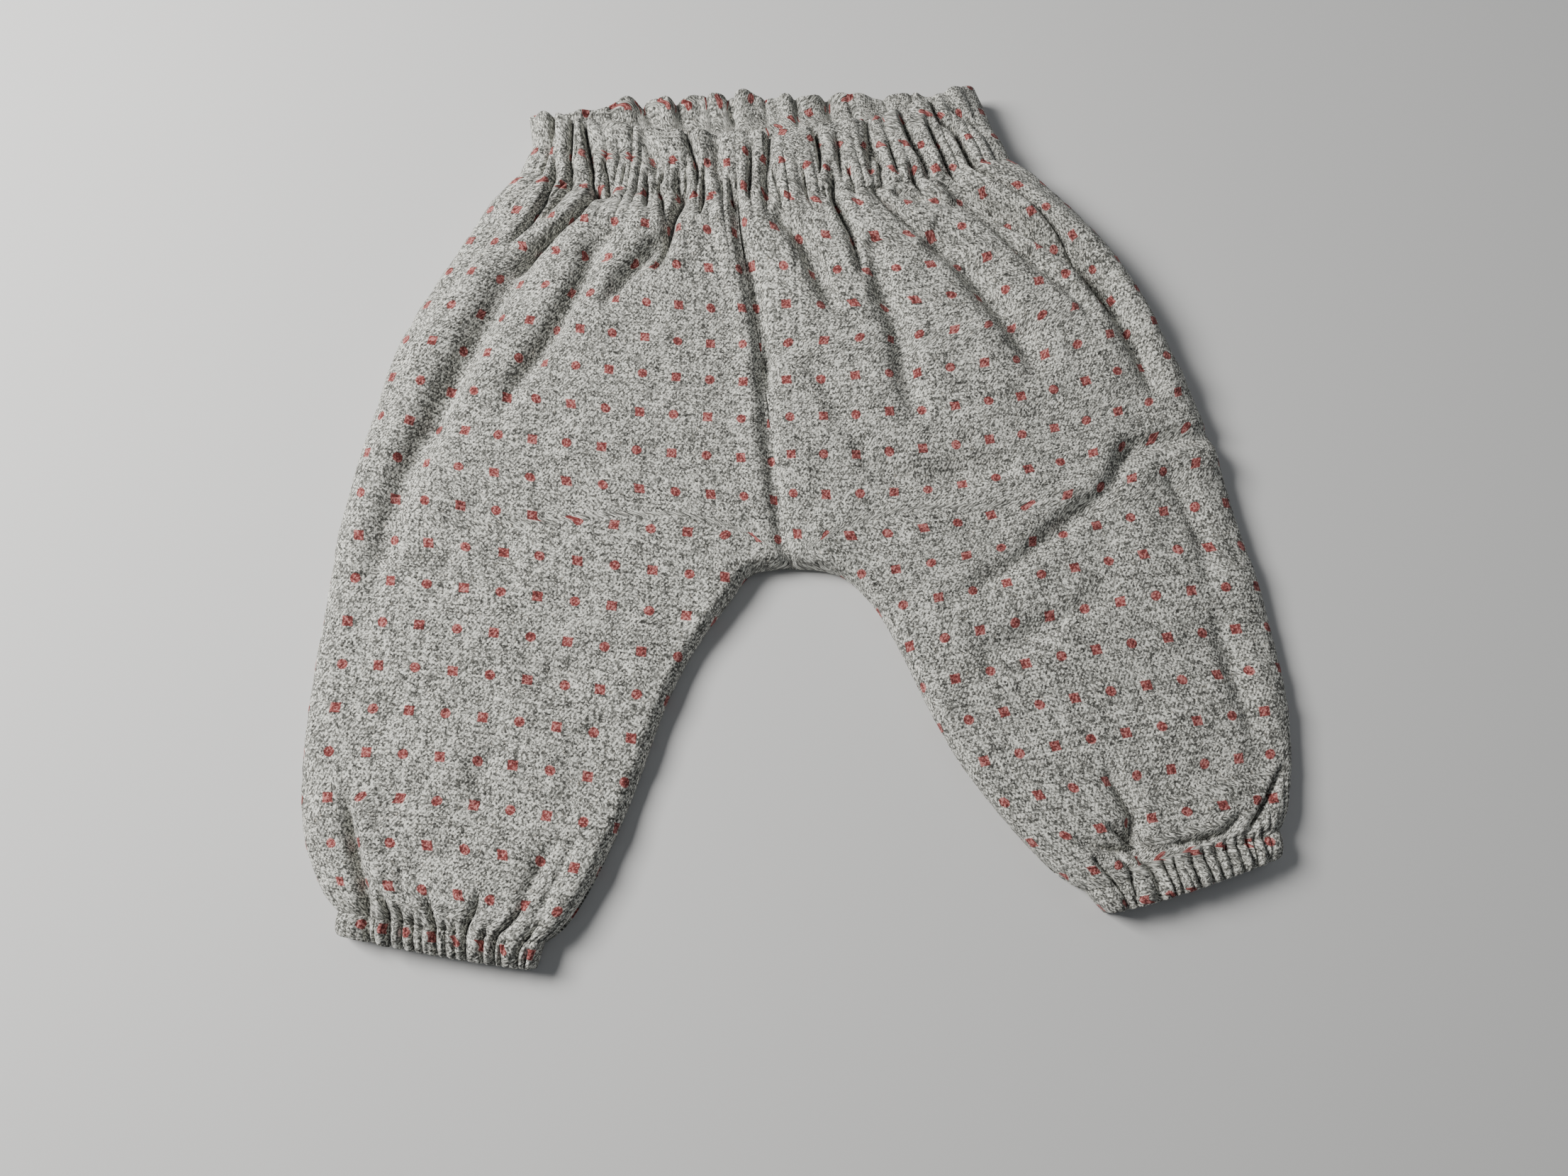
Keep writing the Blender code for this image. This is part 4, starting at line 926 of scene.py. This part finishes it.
def half_piece(name, node, half, arch, materials):
    """One half: the body wraps from centre front to centre back, the leg is a tube.

    A point's two parameters are the section's number and the share across it, over the
    front from the seam to the side fold and on over the back; z follows the rounded
    layers, and the relief of gathers, creases and soft dents goes along their normals.
    """
    places = half_places(half)
    front_sections, back_sections = (half_sections(half, back, places) for back in (False, True))
    seam_y = front_sections.inner[:, 1]
    drop, climb = seam_y[0] - seam_y, seam_y - seam_y[-1]
    crowding = CROWDING * np.clip(drop / CROWDING_REACH, 0.0, 1.0)[:, None]
    rows_left = len(places) - 1 - np.arange(len(places))
    upright = np.clip(1.0 - rows_left / UPRIGHT_ROWS, 0.0, 1.0)
    seam, side = section_columns(half, places)

    x = np.linspace(0.0, 1.0, FRONT_COLUMNS + 1)
    q = crowd(uneven(x)[None, :], crowding)
    front, taken = half_front(front_sections, arch, x, q, half, upright)
    across = print_column(front.outer, taken, seam, side)
    front_print = print_grid(across, print_row(section_plan(front_sections, q), half), half)

    x_back = np.linspace(1.0, 0.0, BACK_COLUMNS + 1)
    q_back = crowd(x_back[None, :], crowding)
    back = base_layer(back_sections, q_back, False, arch, upright, -SEAM_GAP / 2)
    waist = gathers(x_back * half.gathers, drop, half.hand + BACK_SEED, WAIST_REACH, WAIST_DEPTH)
    ankle = gathers(x_back * CUFF_GATHERS, climb, half.hand + BACK_ANKLE_SEED, ANKLE_REACH, ANKLE_DEPTH)
    back = press(back, np.minimum(waist + ankle, 0.0))
    seam_to_side = np.stack([np.interp(at, level, value) for at, level, value in zip(q_back, q, across)])
    down_back = print_row(section_plan(front_sections, q_back), half)
    back_print = print_grid(2 * side[:, None] - seam_to_side, down_back, half)

    wall = wall_of([(front, front_print), (back, back_print)], False)
    return wall_mesh(name, node, wall, WALL, False, materials)


# ================================================================ rings
def ring_gathers(phase, shares, seed, depth):
    """Relief of the gathers on a ring, which are as strong all over it as at its seam."""
    return gathers(phase, np.zeros(len(shares)), seed, 1.0, depth)


def bulge(shares, height):
    """Swelling of a ring between its ends: height * sin(pi * share) ** 0.6."""
    return height * np.sin(math.pi * shares)[:, None] ** BULGE_POWER


def ring_sections(courses, inner, side, shares):
    """Sections of a ring at shares of its height, between its courses."""
    place = shares * (len(courses) - 1)
    return sections_of(courses, through_rows(inner, place), through_rows(side, place), place)


def waist_sections(courses, half, shares, back):
    """Sections of a quarter of a waist ring; a back layer lies higher up than the front."""
    inner = column(courses, "seam_x", "seam_y")
    if back:
        inner[:, 1] += column(courses, "lift")
    return ring_sections(courses, inner, column(courses, *half.side), shares)


def waist_quarter(courses, half, x, shares, front, relief, wave=0.0, taken=None):
    """A quarter of a waist ring with its print: (Layer, print grid)."""
    sections = waist_sections(courses, half, shares, not front)
    q = np.tile(uneven(x), (len(shares), 1))
    base = base_layer(sections, q, front)
    hidden = puckered(relief) if taken is None else taken
    if front:
        valleys, own = charted(base, sections, q)
        hidden = hidden + own
        relief = relief + valleys
    base.outer[:, :, 1] += wave
    layer = press(base, relief)
    columns = half.columns[0]
    across = ring_column(layer.outer, LEAST_TAKEN + hidden, columns)
    if not front:
        across = 2 * columns.side - across
    down = print_row(section_plan(waist_sections(courses, half, shares, False), q), half)
    return layer, print_grid(across, down, half)


def waist_ring(name, node, courses, rows, reliefs, thickness, materials, hem=False):
    """A closed waist ring of four quarters: front left, back left, back right, front right.

    The reliefs function gives what each half's front and its back quarter are pressed by.
    """
    shares = np.linspace(0.0, 1.0, rows)
    fronts, backs = [], []
    for half in (LEFT, RIGHT):
        x = np.linspace(0.0, 1.0, half.gathers * RING_COLUMNS + 1)
        front, back = reliefs(courses, half, x, shares)
        fronts.append(waist_quarter(courses, half, x, shares, True, *front))
        backs.append(waist_quarter(courses, half, x, shares, False, *back))
    wall = wall_of([fronts[0], turned(backs[0]), backs[1], turned(fronts[1])], True)
    return wall_mesh(name, node, wall, thickness, True, materials, hem)


def channel_reliefs(_, half, x, shares):
    """Relief of the gathered casing: its gathers run on from the folds of the halves."""
    front = ring_gathers(x * half.gathers, shares, half.hand, FRONT_SHARE * WAIST_DEPTH)
    back = ring_gathers(x * half.gathers, shares, half.hand + BACK_SEED, WAIST_DEPTH)
    return (front + bulge(shares, CHANNEL_BULGE),), (np.minimum(back, 0.0),)


def front_frill(half, x, shares):
    """Relief of the front frill: fine gathers at its seam, and broad uneven waves, which
    drift and slant, at its edge.

    With h, the share of the frill's height to the power 0.8, the gathers fade as 1 - h and
    the waves grow as (0.35 + 0.65 * h) * h.
    """
    seed, turns = half.hand, 2 * math.pi * x
    fine = ring_gathers(x * half.gathers, shares, seed, WAIST_DEPTH)
    drift, slant = varied(turns, seed, *FRILL_DRIFT), varied(turns, seed, *FRILL_SLANT)
    phase = x[None, :] * half.gathers / 2 + drift[None, :] + slant[None, :] * shares[:, None]
    strength = varied(np.round(phase), seed, *FRILL_STRENGTH)
    broad = FRILL_CREST - FRILL_VALLEY * strength * (1.0 - np.abs(np.sin(math.pi * phase)) ** 0.9)
    h = shares[:, None] ** 0.8
    return fine * (1.0 - h) + FRILL_FRONT * broad * (0.35 + 0.65 * h) * h


def back_frill(courses, half, x, shares):
    """Relief of the back frill: it lifts off the table towards its edge, in broad rolls
    between the charted valleys of its inner face, and less and less towards the sides, as
    1 - x ** 6."""
    sections = waist_sections(courses, half, shares, True)
    plan = section_plan(sections, np.tile(uneven(x), (len(shares), 1)))
    valleys, taken = valley_relief(plan, BACK_VALLEYS)
    rolls = varied(2 * math.pi * x, half.hand, *BACK_ROLLS)
    growth = (shares[:, None] ** 0.9) * (1.0 - x[None, :] ** 6)
    return -np.maximum(growth * (BACK_LIFT * rolls[None, :] + valleys), 0.0), taken


def frill_reliefs(courses, half, x, shares):
    """Relief of the frill, the scallops of its edge, and the cloth its back hides."""
    front = FRONT_SHARE * front_frill(half, x, shares)
    back, taken = back_frill(courses, half, x, shares)
    scallop = varied(2 * math.pi * x, half.hand, *FRILL_SCALLOP)
    wave = scallop[None, :] * (1.0 - x[None, :] ** 2) * shares[:, None] ** 2
    return (front, 0.5 * wave), (back, wave, taken)


def cuff_piece(name, node, half, materials):
    """A gathered ankle casing with a rounded hem: a closed ring with its back on the table."""
    seam, hem = half.leg[-1], half.hem
    middle = Leg("middle", *[(a + b) / 2 for a, b in zip(seam[1:], hem[1:])])
    courses = [seam, middle._replace(height=middle.height + CUFF_CROWN), hem]
    inner, side = column(courses, "inseam_x", "inseam_y"), column(courses, "side_x", "side_y")
    down = inner[-1] + side[-1] - inner[0] - side[0]
    down /= np.linalg.norm(down)
    inner[-1] -= CUFF_WALL / 2 * down
    side[-1] -= CUFF_WALL / 2 * down
    shares = np.linspace(0.0, 1.0, CUFF_ROWS)
    sections = ring_sections(courses, inner, side, shares)
    x = np.linspace(0.0, 1.0, CUFF_GATHERS * RING_COLUMNS + 1)
    q = np.tile(uneven(x), (len(shares), 1))
    front = base_layer(sections, q, True, None, 1.0)
    valleys, hidden = charted(front, sections, q)
    relief = ANKLE_SHARE * ring_gathers(x * CUFF_GATHERS, shares, half.seed, ANKLE_DEPTH)
    front = press(front, relief + bulge(shares, CUFF_BULGE) + valleys)
    relief = ring_gathers(x * CUFF_GATHERS, shares, half.seed + BACK_CUFF_SEED, ANKLE_DEPTH)
    back = press(base_layer(sections, q, False, None, 1.0), np.minimum(relief, 0.0))
    columns = half.columns[-1]
    across = ring_column(front.outer, CUFF_LEAST_TAKEN + hidden, columns)
    down = print_row(section_plan(sections, q), half)
    front_print = print_grid(across, down, half)
    back_print = print_grid(2 * columns.side - across, down, half)
    wall = wall_of([(front, front_print), turned((back, back_print))], True)
    return wall_mesh(name, node, wall, CUFF_WALL, True, materials, True)


# ================================================================ shader groups
def new_group(name, inputs, outputs):
    """A shader node group and its ends' sockets: each input has a name, a kind and a
    default, and the outputs are plain values."""
    group = bpy.data.node_groups.new(name, "ShaderNodeTree")
    for label, kind, value in inputs:
        socket = group.interface.new_socket(name=label, in_out="INPUT", socket_type=kind)
        if value is not None:
            socket.default_value = value
    for label in outputs:
        group.interface.new_socket(name=label, in_out="OUTPUT", socket_type="NodeSocketFloat")
    nodes = group.nodes
    return group, nodes.new("NodeGroupInput").outputs, nodes.new("NodeGroupOutput").inputs


def put(tree, socket, value):
    """A value on a socket, or a link into it."""
    if isinstance(value, bpy.types.NodeSocket):
        tree.links.new(value, socket)
    elif value is not None:
        socket.default_value = value


def fill(tree, node, values):
    """Values on a node's named sockets, or links into them; the node is handed back."""
    for label, value in values.items():
        put(tree, node.inputs[label], value)
    return node


def sums(tree, operation, *values):
    """A Math node's result."""
    node = tree.nodes.new("ShaderNodeMath")
    node.operation = operation
    for socket, value in zip(node.inputs, values):
        put(tree, socket, value)
    return node.outputs[0]


def centred(tree, value, weight):
    """A value of 0 to 1 as one about 0, times a weight: (value - 0.5) * weight."""
    return sums(tree, "MULTIPLY", sums(tree, "SUBTRACT", value, 0.5), weight)


def stretch(tree, value, low, high, to_low=0.0, to_high=1.0, smooth=False):
    """A value mapped from one range to another and kept inside it."""
    node = tree.nodes.new("ShaderNodeMapRange")
    node.interpolation_type = "SMOOTHSTEP" if smooth else "LINEAR"
    for socket, item in zip(node.inputs, (value, low, high, to_low, to_high)):
        put(tree, socket, item)
    return node.outputs[0]


def blend_colours(tree, share, a, b, mode="MIX"):
    """Two colours mixed by a share."""
    node = tree.nodes.new("ShaderNodeMix")
    node.data_type = "RGBA"
    node.blend_type = mode
    for number, value in ((0, share), (6, a), (7, b)):
        put(tree, node.inputs[number], value)
    return node.outputs[2]


def turned_cloth(tree, cloth, angle, size, place=(0.0, 0.0, 0.0)):
    """Cloth coordinates in millimetres, turned and then divided by a size along each axis."""
    turn = tree.nodes.new("ShaderNodeVectorRotate")
    turn.rotation_type = "Z_AXIS"
    fill(tree, turn, {"Vector": cloth, "Angle": angle})
    scale = fill(tree, tree.nodes.new("ShaderNodeMapping"), {
        "Vector": turn.outputs[0], "Scale": (1 / size[0], 1 / size[1], 1.0), "Location": place})
    return scale.outputs[0]


def grain(tree, vector, detail, rough, distortion=0.0, scale=1.0):
    """A noise value."""
    noise = fill(tree, tree.nodes.new("ShaderNodeTexNoise"), {
        "Vector": vector, "Scale": scale, "Detail": detail, "Roughness": rough, "Distortion": distortion})
    return noise.outputs["Fac"]


def flakes(tree, vector):
    """A random value of its own for every small cell."""
    cells = fill(tree, tree.nodes.new("ShaderNodeTexVoronoi"), {"Vector": vector, "Scale": 1.0})
    split = fill(tree, tree.nodes.new("ShaderNodeSeparateColor"), {"Color": cells.outputs["Color"]})
    return split.outputs[0]


def melange_group():
    """Brushed grey melange twill: uneven light and dark fibres lying one way, faint twill
    lines, soft blotches where the nap lies differently, and a few beige flecks.

    Shade multiplies the cloth's colour and is the exponential of the layers' sum, Fleck is
    the share of beige, and Height is the nap.
    """
    group, start, end = new_group(
        "melange flannel",
        [("Cloth", "NodeSocketVector", None), ("Fibre angle", "NodeSocketFloat", 0.5),
         ("Contrast", "NodeSocketFloat", 1.0)],
        ["Shade", "Fleck", "Height"])
    cloth, angle = start["Cloth"], start["Fibre angle"]
    # Weight, turn, size across and along, place, and a noise's detail, roughness and distortion.
    layers = {
        "fibres": (0.2, angle, (0.5, 1.2), (0.0, 0.0, 0.0), (1.0, 0.5, 0.2)),
        "specks": (1.4, angle, (0.52, 0.68), (7.0, 3.0, 0.0), None),
        "bits": (1.4, angle, (0.62, 0.52), (1.0, 8.0, 0.0), None),
        "tufts": (0.05, angle, (1.1, 1.6), (2.0, 9.0, 0.0), (2.0, 0.55, 0.1)),
        "clouds": (0.65, 0.3, (5.0, 7.5), (5.0, 1.0, 0.0), (3.0, 0.55)),
        "yarns": (1.15, 0.0, (0.9, 16.0), (1.0, 4.0, 0.0), (1.0, 0.5)),
        "picks": (1.25, 0.0, (14.0, 0.9), (4.0, 2.0, 0.0), (1.0, 0.5)),
    }
    found, total = {}, None
    for name, (weight, turn, size, place, noise) in layers.items():
        spot = turned_cloth(group, cloth, turn, size, place)
        found[name] = grain(group, spot, *noise) if noise else flakes(group, spot)
        part = centred(group, found[name], weight)
        total = part if total is None else sums(group, "ADD", total, part)
    twill = group.nodes.new("ShaderNodeTexWave")
    twill.bands_direction = "X"
    fill(group, twill, {"Vector": turned_cloth(group, cloth, -0.62, (0.92, 0.92)), "Scale": 0.27,
                        "Distortion": 1.0, "Detail": 2.0, "Detail Scale": 1.6})
    lines = sums(group, "MULTIPLY", centred(group, twill.outputs["Fac"], 0.9), found["bits"])
    total = sums(group, "MULTIPLY", sums(group, "ADD", total, lines), start["Contrast"])
    total = sums(group, "MINIMUM", total, 1.0)
    put(group, end["Shade"], sums(group, "EXPONENT", total))
    flecks = grain(group, turned_cloth(group, cloth, angle, (0.9, 1.9), (3.0, 6.0, 0.0)), 2.0, 0.5)
    put(group, end["Fleck"], stretch(group, flecks, 0.60, 0.76, smooth=True))
    height = sums(group, "MULTIPLY_ADD", found["fibres"], 0.8, lines)
    put(group, end["Height"], sums(group, "MULTIPLY_ADD", found["tufts"], 0.5, height))
    return group


def dots_group():
    """Printed dots, a square and a round one by turns, with edges that the nap makes uneven.

    The cloth's coordinates are divided by the repeats and rounded to the nearest dot; the
    sum of its column and row, even or odd, says whether it's a square or a round one.
    """
    group, start, end = new_group(
        "printed dots",
        [("Cloth", "NodeSocketVector", None), ("Column repeat", "NodeSocketFloat", PRINT_COLUMN),
         ("Row repeat", "NodeSocketFloat", PRINT_ROW), ("Square side", "NodeSocketFloat", 3.4),
         ("Round diameter", "NodeSocketFloat", 3.5)],
        ["Print"])
    wobble = grain(group, start["Cloth"], 3.0, 0.65, scale=1.6)
    split = group.nodes.new("ShaderNodeSeparateXYZ")
    put(group, split.inputs[0], start["Cloth"])
    offsets, numbers = [], []
    for axis, pitch in enumerate((start["Column repeat"], start["Row repeat"])):
        cell = sums(group, "DIVIDE", split.outputs[axis], pitch)
        number = sums(group, "ROUND", cell)
        offset = sums(group, "ABSOLUTE", sums(group, "SUBTRACT", cell, number))
        offsets.append(sums(group, "MULTIPLY", offset, pitch))
        numbers.append(number)
    odd = sums(group, "FLOORED_MODULO", sums(group, "ADD", *numbers), 2.0)
    is_odd = sums(group, "GREATER_THAN", odd, 0.5)
    square = sums(group, "MULTIPLY", sums(group, "MAXIMUM", *offsets), 2.0)
    square = sums(group, "SUBTRACT", square, start["Square side"])
    squares = [sums(group, "POWER", offset, 2.0) for offset in offsets]
    circle = sums(group, "MULTIPLY", sums(group, "SQRT", sums(group, "ADD", *squares)), 2.0)
    circle = sums(group, "SUBTRACT", circle, start["Round diameter"])
    edge = sums(group, "ADD", sums(group, "MULTIPLY", circle, is_odd),
                sums(group, "MULTIPLY", square, sums(group, "SUBTRACT", 1.0, is_odd)))
    edge = sums(group, "ADD", edge, centred(group, wobble, 1.5))
    put(group, end["Print"], stretch(group, edge, 0.30, -0.30, smooth=True))
    return group


def flannel_material(name, groups, settings, printed, angle):
    """Brushed flannel from the piece's cloth coordinates, with or without its print."""
    material = bpy.data.materials.new(name)
    material.use_nodes = True
    tree = material.node_tree
    uv = tree.nodes.new("ShaderNodeUVMap")
    uv.uv_map = "cloth"
    millimetres = (1 / MM, 1 / MM, 1 / MM)
    cloth = fill(tree, tree.nodes.new("ShaderNodeMapping"), {
        "Vector": uv.outputs[0], "Scale": millimetres}).outputs[0]
    melange = tree.nodes.new("ShaderNodeGroup")
    melange.node_tree = groups["melange"]
    fill(tree, melange, {"Cloth": cloth, "Fibre angle": angle, "Contrast": settings.contrast})
    beige = sums(tree, "MULTIPLY", melange.outputs["Fleck"], 0.35)
    colour = blend_colours(tree, beige, (*settings.cloth_colour, 1.0), (*settings.fleck_colour, 1.0))
    depth = 1.0
    if printed:
        dots = tree.nodes.new("ShaderNodeGroup")
        dots.node_tree = groups["dots"]
        fill(tree, dots, {
            "Cloth": cloth, "Column repeat": PRINT_COLUMN, "Row repeat": PRINT_ROW,
            "Square side": settings.square_side / MM, "Round diameter": settings.round_diameter / MM})
        thin = stretch(tree, melange.outputs["Shade"], 0.9, 1.9, 0.98, 0.80)
        share = sums(tree, "MULTIPLY", dots.outputs["Print"], thin)
        colour = blend_colours(tree, share, colour, (*settings.print_colour, 1.0))
        depth = stretch(tree, share, 0.0, 1.0, 1.0, 0.6)
    tone = sums(tree, "POWER", melange.outputs["Shade"], depth)
    shade = fill(tree, tree.nodes.new("ShaderNodeCombineColor"), {"Red": tone, "Green": tone, "Blue": tone})
    relief = fill(tree, tree.nodes.new("ShaderNodeBump"), {
        "Strength": settings.nap, "Distance": NAP_HEIGHT, "Height": melange.outputs["Height"]})
    fill(tree, tree.nodes["Principled BSDF"], {
        "Base Color": blend_colours(tree, 1.0, colour, shade.outputs[0], "MULTIPLY"),
        "Normal": relief.outputs[0], "Roughness": 0.95, "Specular IOR Level": 0.15,
        "Sheen Weight": 0.10, "Sheen Roughness": 0.55, "Sheen Tint": (0.95, 0.95, 0.93, 1.0)})
    return material


def table_material(colour):
    """Plain pale floor."""
    material = bpy.data.materials.new("pale_floor")
    material.use_nodes = True
    fill(material.node_tree, material.node_tree.nodes["Principled BSDF"], {
        "Base Color": (*colour, 1.0), "Roughness": 0.85, "Specular IOR Level": 0.2})
    return material


def materials_of_cloth():
    """The flannel's materials, made once: printed for each half, and the plain inside."""
    if CLOTHS[0][0] not in bpy.data.materials:
        groups = {"melange": melange_group(), "dots": dots_group()}
        for name, printed, angle in CLOTHS:
            flannel_material(name, groups, bpy.context.scene.trousers_cloth, printed, angle)
    return [bpy.data.materials[name] for name, _, _ in CLOTHS]


# ================================================================ settings
def colour_setting(name, description, default):
    """A colour that the panel shows."""
    return bpy.props.FloatVectorProperty(
        name=name, description=description, subtype="COLOR", size=3, min=0.0, max=1.0, default=default)


def share_setting(name, description, default, highest):
    """A strength from 0 up."""
    return bpy.props.FloatProperty(
        name=name, description=description, subtype="FACTOR", min=0.0, max=highest, default=default)


def power_setting(name, description, default):
    """A light's power."""
    return bpy.props.FloatProperty(
        name=name, description=description, unit="POWER", min=0.0, default=default)


def dot_setting(name, description, default):
    """Size of a printed dot."""
    return bpy.props.FloatProperty(
        name=name, description=description, unit="LENGTH", min=0.001, max=0.02, default=default)


class ClothSettings(bpy.types.PropertyGroup):
    """Colours and print of the flannel."""
    cloth_colour: colour_setting("Cloth", "Mean colour of the grey melange", (0.304, 0.304, 0.282))
    fleck_colour: colour_setting("Flecks", "Beige fibres in the melange", (0.50, 0.44, 0.34))
    print_colour: colour_setting("Dots", "Rust red of the printed dots", (0.262, 0.060, 0.057))
    contrast: share_setting("Melange contrast", "How much the fibres differ in shade", 1.45, 5.0)
    nap: share_setting("Nap", "Strength of the brushed surface's relief", 0.8, 1.0)
    square_side: dot_setting("Square side", "Side of a printed square", 0.0034)
    round_diameter: dot_setting("Round diameter", "Diameter of a printed round dot", 0.0035)


class StageSettings(bpy.types.PropertyGroup):
    """Floor, light and camera."""
    floor_colour: colour_setting("Floor", "Colour of the plain floor", (0.70, 0.70, 0.70))
    key_power: power_setting("Key light", "Power of the large soft light on the left", 15.1)
    fill_power: power_setting("Fill light", "Power of the weak light on the right", 0.5)
    room: share_setting("Room light", "Strength of the even light all round", 0.115, 2.0)
    lens: bpy.props.FloatProperty(
        name="Lens", description="Focal length on a sensor 36 mm wide",
        subtype="DISTANCE_CAMERA", unit="CAMERA", min=10.0, max=200.0, default=27.0)


# ================================================================ operators
class TROUSERS_OT_halves(bpy.types.Operator):
    """Make the two halves, each a wrap of cloth with its leg"""
    bl_idname = "trousers.halves"
    bl_label = "Halves"

    def execute(self, context):
        left_print, right_print, inside = materials_of_cloth()
        arch = inseam_path()
        half = half_piece("half_left_cloth", "half_left", LEFT, arch, [left_print, inside])
        half = half_piece("half_right_cloth", "half_right", RIGHT, arch, [right_print, inside])
        return {"FINISHED"}


class TROUSERS_OT_waist(bpy.types.Operator):
    """Make the waist's gathered channel and the frill above it"""
    bl_idname = "trousers.waist"
    bl_label = "Waist"

    def execute(self, context):
        left_print, _, inside = materials_of_cloth()
        channel = waist_ring("waist_channel_cloth", "waist_channel", BODY[:1] + WAIST[:2],
                             CHANNEL_ROWS, channel_reliefs, WALL, [left_print, inside])
        frill = waist_ring("waist_frill_cloth", "waist_frill", WAIST[1:],
                           FRILL_ROWS, frill_reliefs, FRILL_WALL, [left_print], hem=True)
        return {"FINISHED"}


class TROUSERS_OT_cuffs(bpy.types.Operator):
    """Make the two gathered ankle casings"""
    bl_idname = "trousers.cuffs"
    bl_label = "Ankle cuffs"

    def execute(self, context):
        left_print, right_print, inside = materials_of_cloth()
        left = cuff_piece("cuff_left_cloth", "cuff_left", LEFT, [left_print, inside])
        right = cuff_piece("cuff_right_cloth", "cuff_right", RIGHT, [right_print, inside])
        return {"FINISHED"}


def area_light(name, power, place, colour):
    """A large soft square light that looks at the middle of the trousers."""
    data = bpy.data.lights.new(name, "AREA")
    data.shape = "RECTANGLE"
    data.size, data.size_y = LIGHT_SIZE, LIGHT_SIZE
    data.energy = power
    data.color = colour
    light = bpy.data.objects.new(name, data)
    bpy.context.scene.collection.objects.link(light)
    light.location = place
    light.rotation_euler = (-Vector(place)).to_track_quat("-Z", "Y").to_euler()


class TROUSERS_OT_stage(bpy.types.Operator):
    """Make the plain floor, the soft lights and the camera"""
    bl_idname = "trousers.stage"
    bl_label = "Stage"

    def execute(self, context):
        scene = context.scene
        settings = scene.trousers_stage
        floor = bpy.data.meshes.new("floor")
        corners = [(x * FLOOR_REACH, y * FLOOR_REACH, 0) for x, y in ((-1, -1), (1, -1), (1, 1), (-1, 1))]
        floor.from_pydata(corners, [], [(0, 1, 2, 3)])
        floor.materials.append(table_material(settings.floor_colour))
        ground = bpy.data.objects.new("floor", floor)
        scene.collection.objects.link(ground)
        area_light("key_light", settings.key_power, KEY_PLACE, KEY_COLOUR)
        area_light("fill_light", settings.fill_power, FILL_PLACE, FILL_COLOUR)
        world = bpy.data.worlds.new("room")
        world.use_nodes = True
        fill(world.node_tree, world.node_tree.nodes["Background"], {
            "Color": ROOM_COLOUR, "Strength": settings.room})
        scene.world = world
        data = bpy.data.cameras.new("camera")
        data.lens = settings.lens
        data.sensor_width = 36.0
        camera = bpy.data.objects.new("camera", data)
        scene.collection.objects.link(camera)
        camera.location = CAMERA_PLACE
        camera.rotation_euler = (math.radians(CAMERA_TILT), 0.0, 0.0)
        scene.camera = camera
        return {"FINISHED"}


class TROUSERS_PT_panel(bpy.types.Panel):
    """Trousers"""
    bl_idname = "TROUSERS_PT_panel"
    bl_label = "Baby harem trousers"
    bl_space_type = "VIEW_3D"
    bl_region_type = "UI"
    bl_category = "Trousers"

    def draw(self, context):
        for name in ("halves", "waist", "cuffs", "stage"):
            self.layout.operator(f"trousers.{name}")
        for settings in (context.scene.trousers_cloth, context.scene.trousers_stage):
            for name in settings.__annotations__:
                self.layout.prop(settings, name)


CLASSES = (ClothSettings, StageSettings, TROUSERS_OT_halves, TROUSERS_OT_waist,
           TROUSERS_OT_cuffs, TROUSERS_OT_stage, TROUSERS_PT_panel)


def register():
    """Make the classes and their settings known."""
    for item in CLASSES:
        bpy.utils.register_class(item)
    bpy.types.Scene.trousers_cloth = bpy.props.PointerProperty(type=ClothSettings)
    bpy.types.Scene.trousers_stage = bpy.props.PointerProperty(type=StageSettings)


def unregister():
    """Take them out again."""
    del bpy.types.Scene.trousers_stage
    del bpy.types.Scene.trousers_cloth
    for item in reversed(CLASSES):
        bpy.utils.unregister_class(item)


def main():
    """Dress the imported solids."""
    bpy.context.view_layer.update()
    register()
    bpy.ops.trousers.halves()
    bpy.ops.trousers.waist()
    bpy.ops.trousers.cuffs()
    bpy.ops.trousers.stage()
    bpy.context.view_layer.update()


if __name__ == "__main__":
    main()
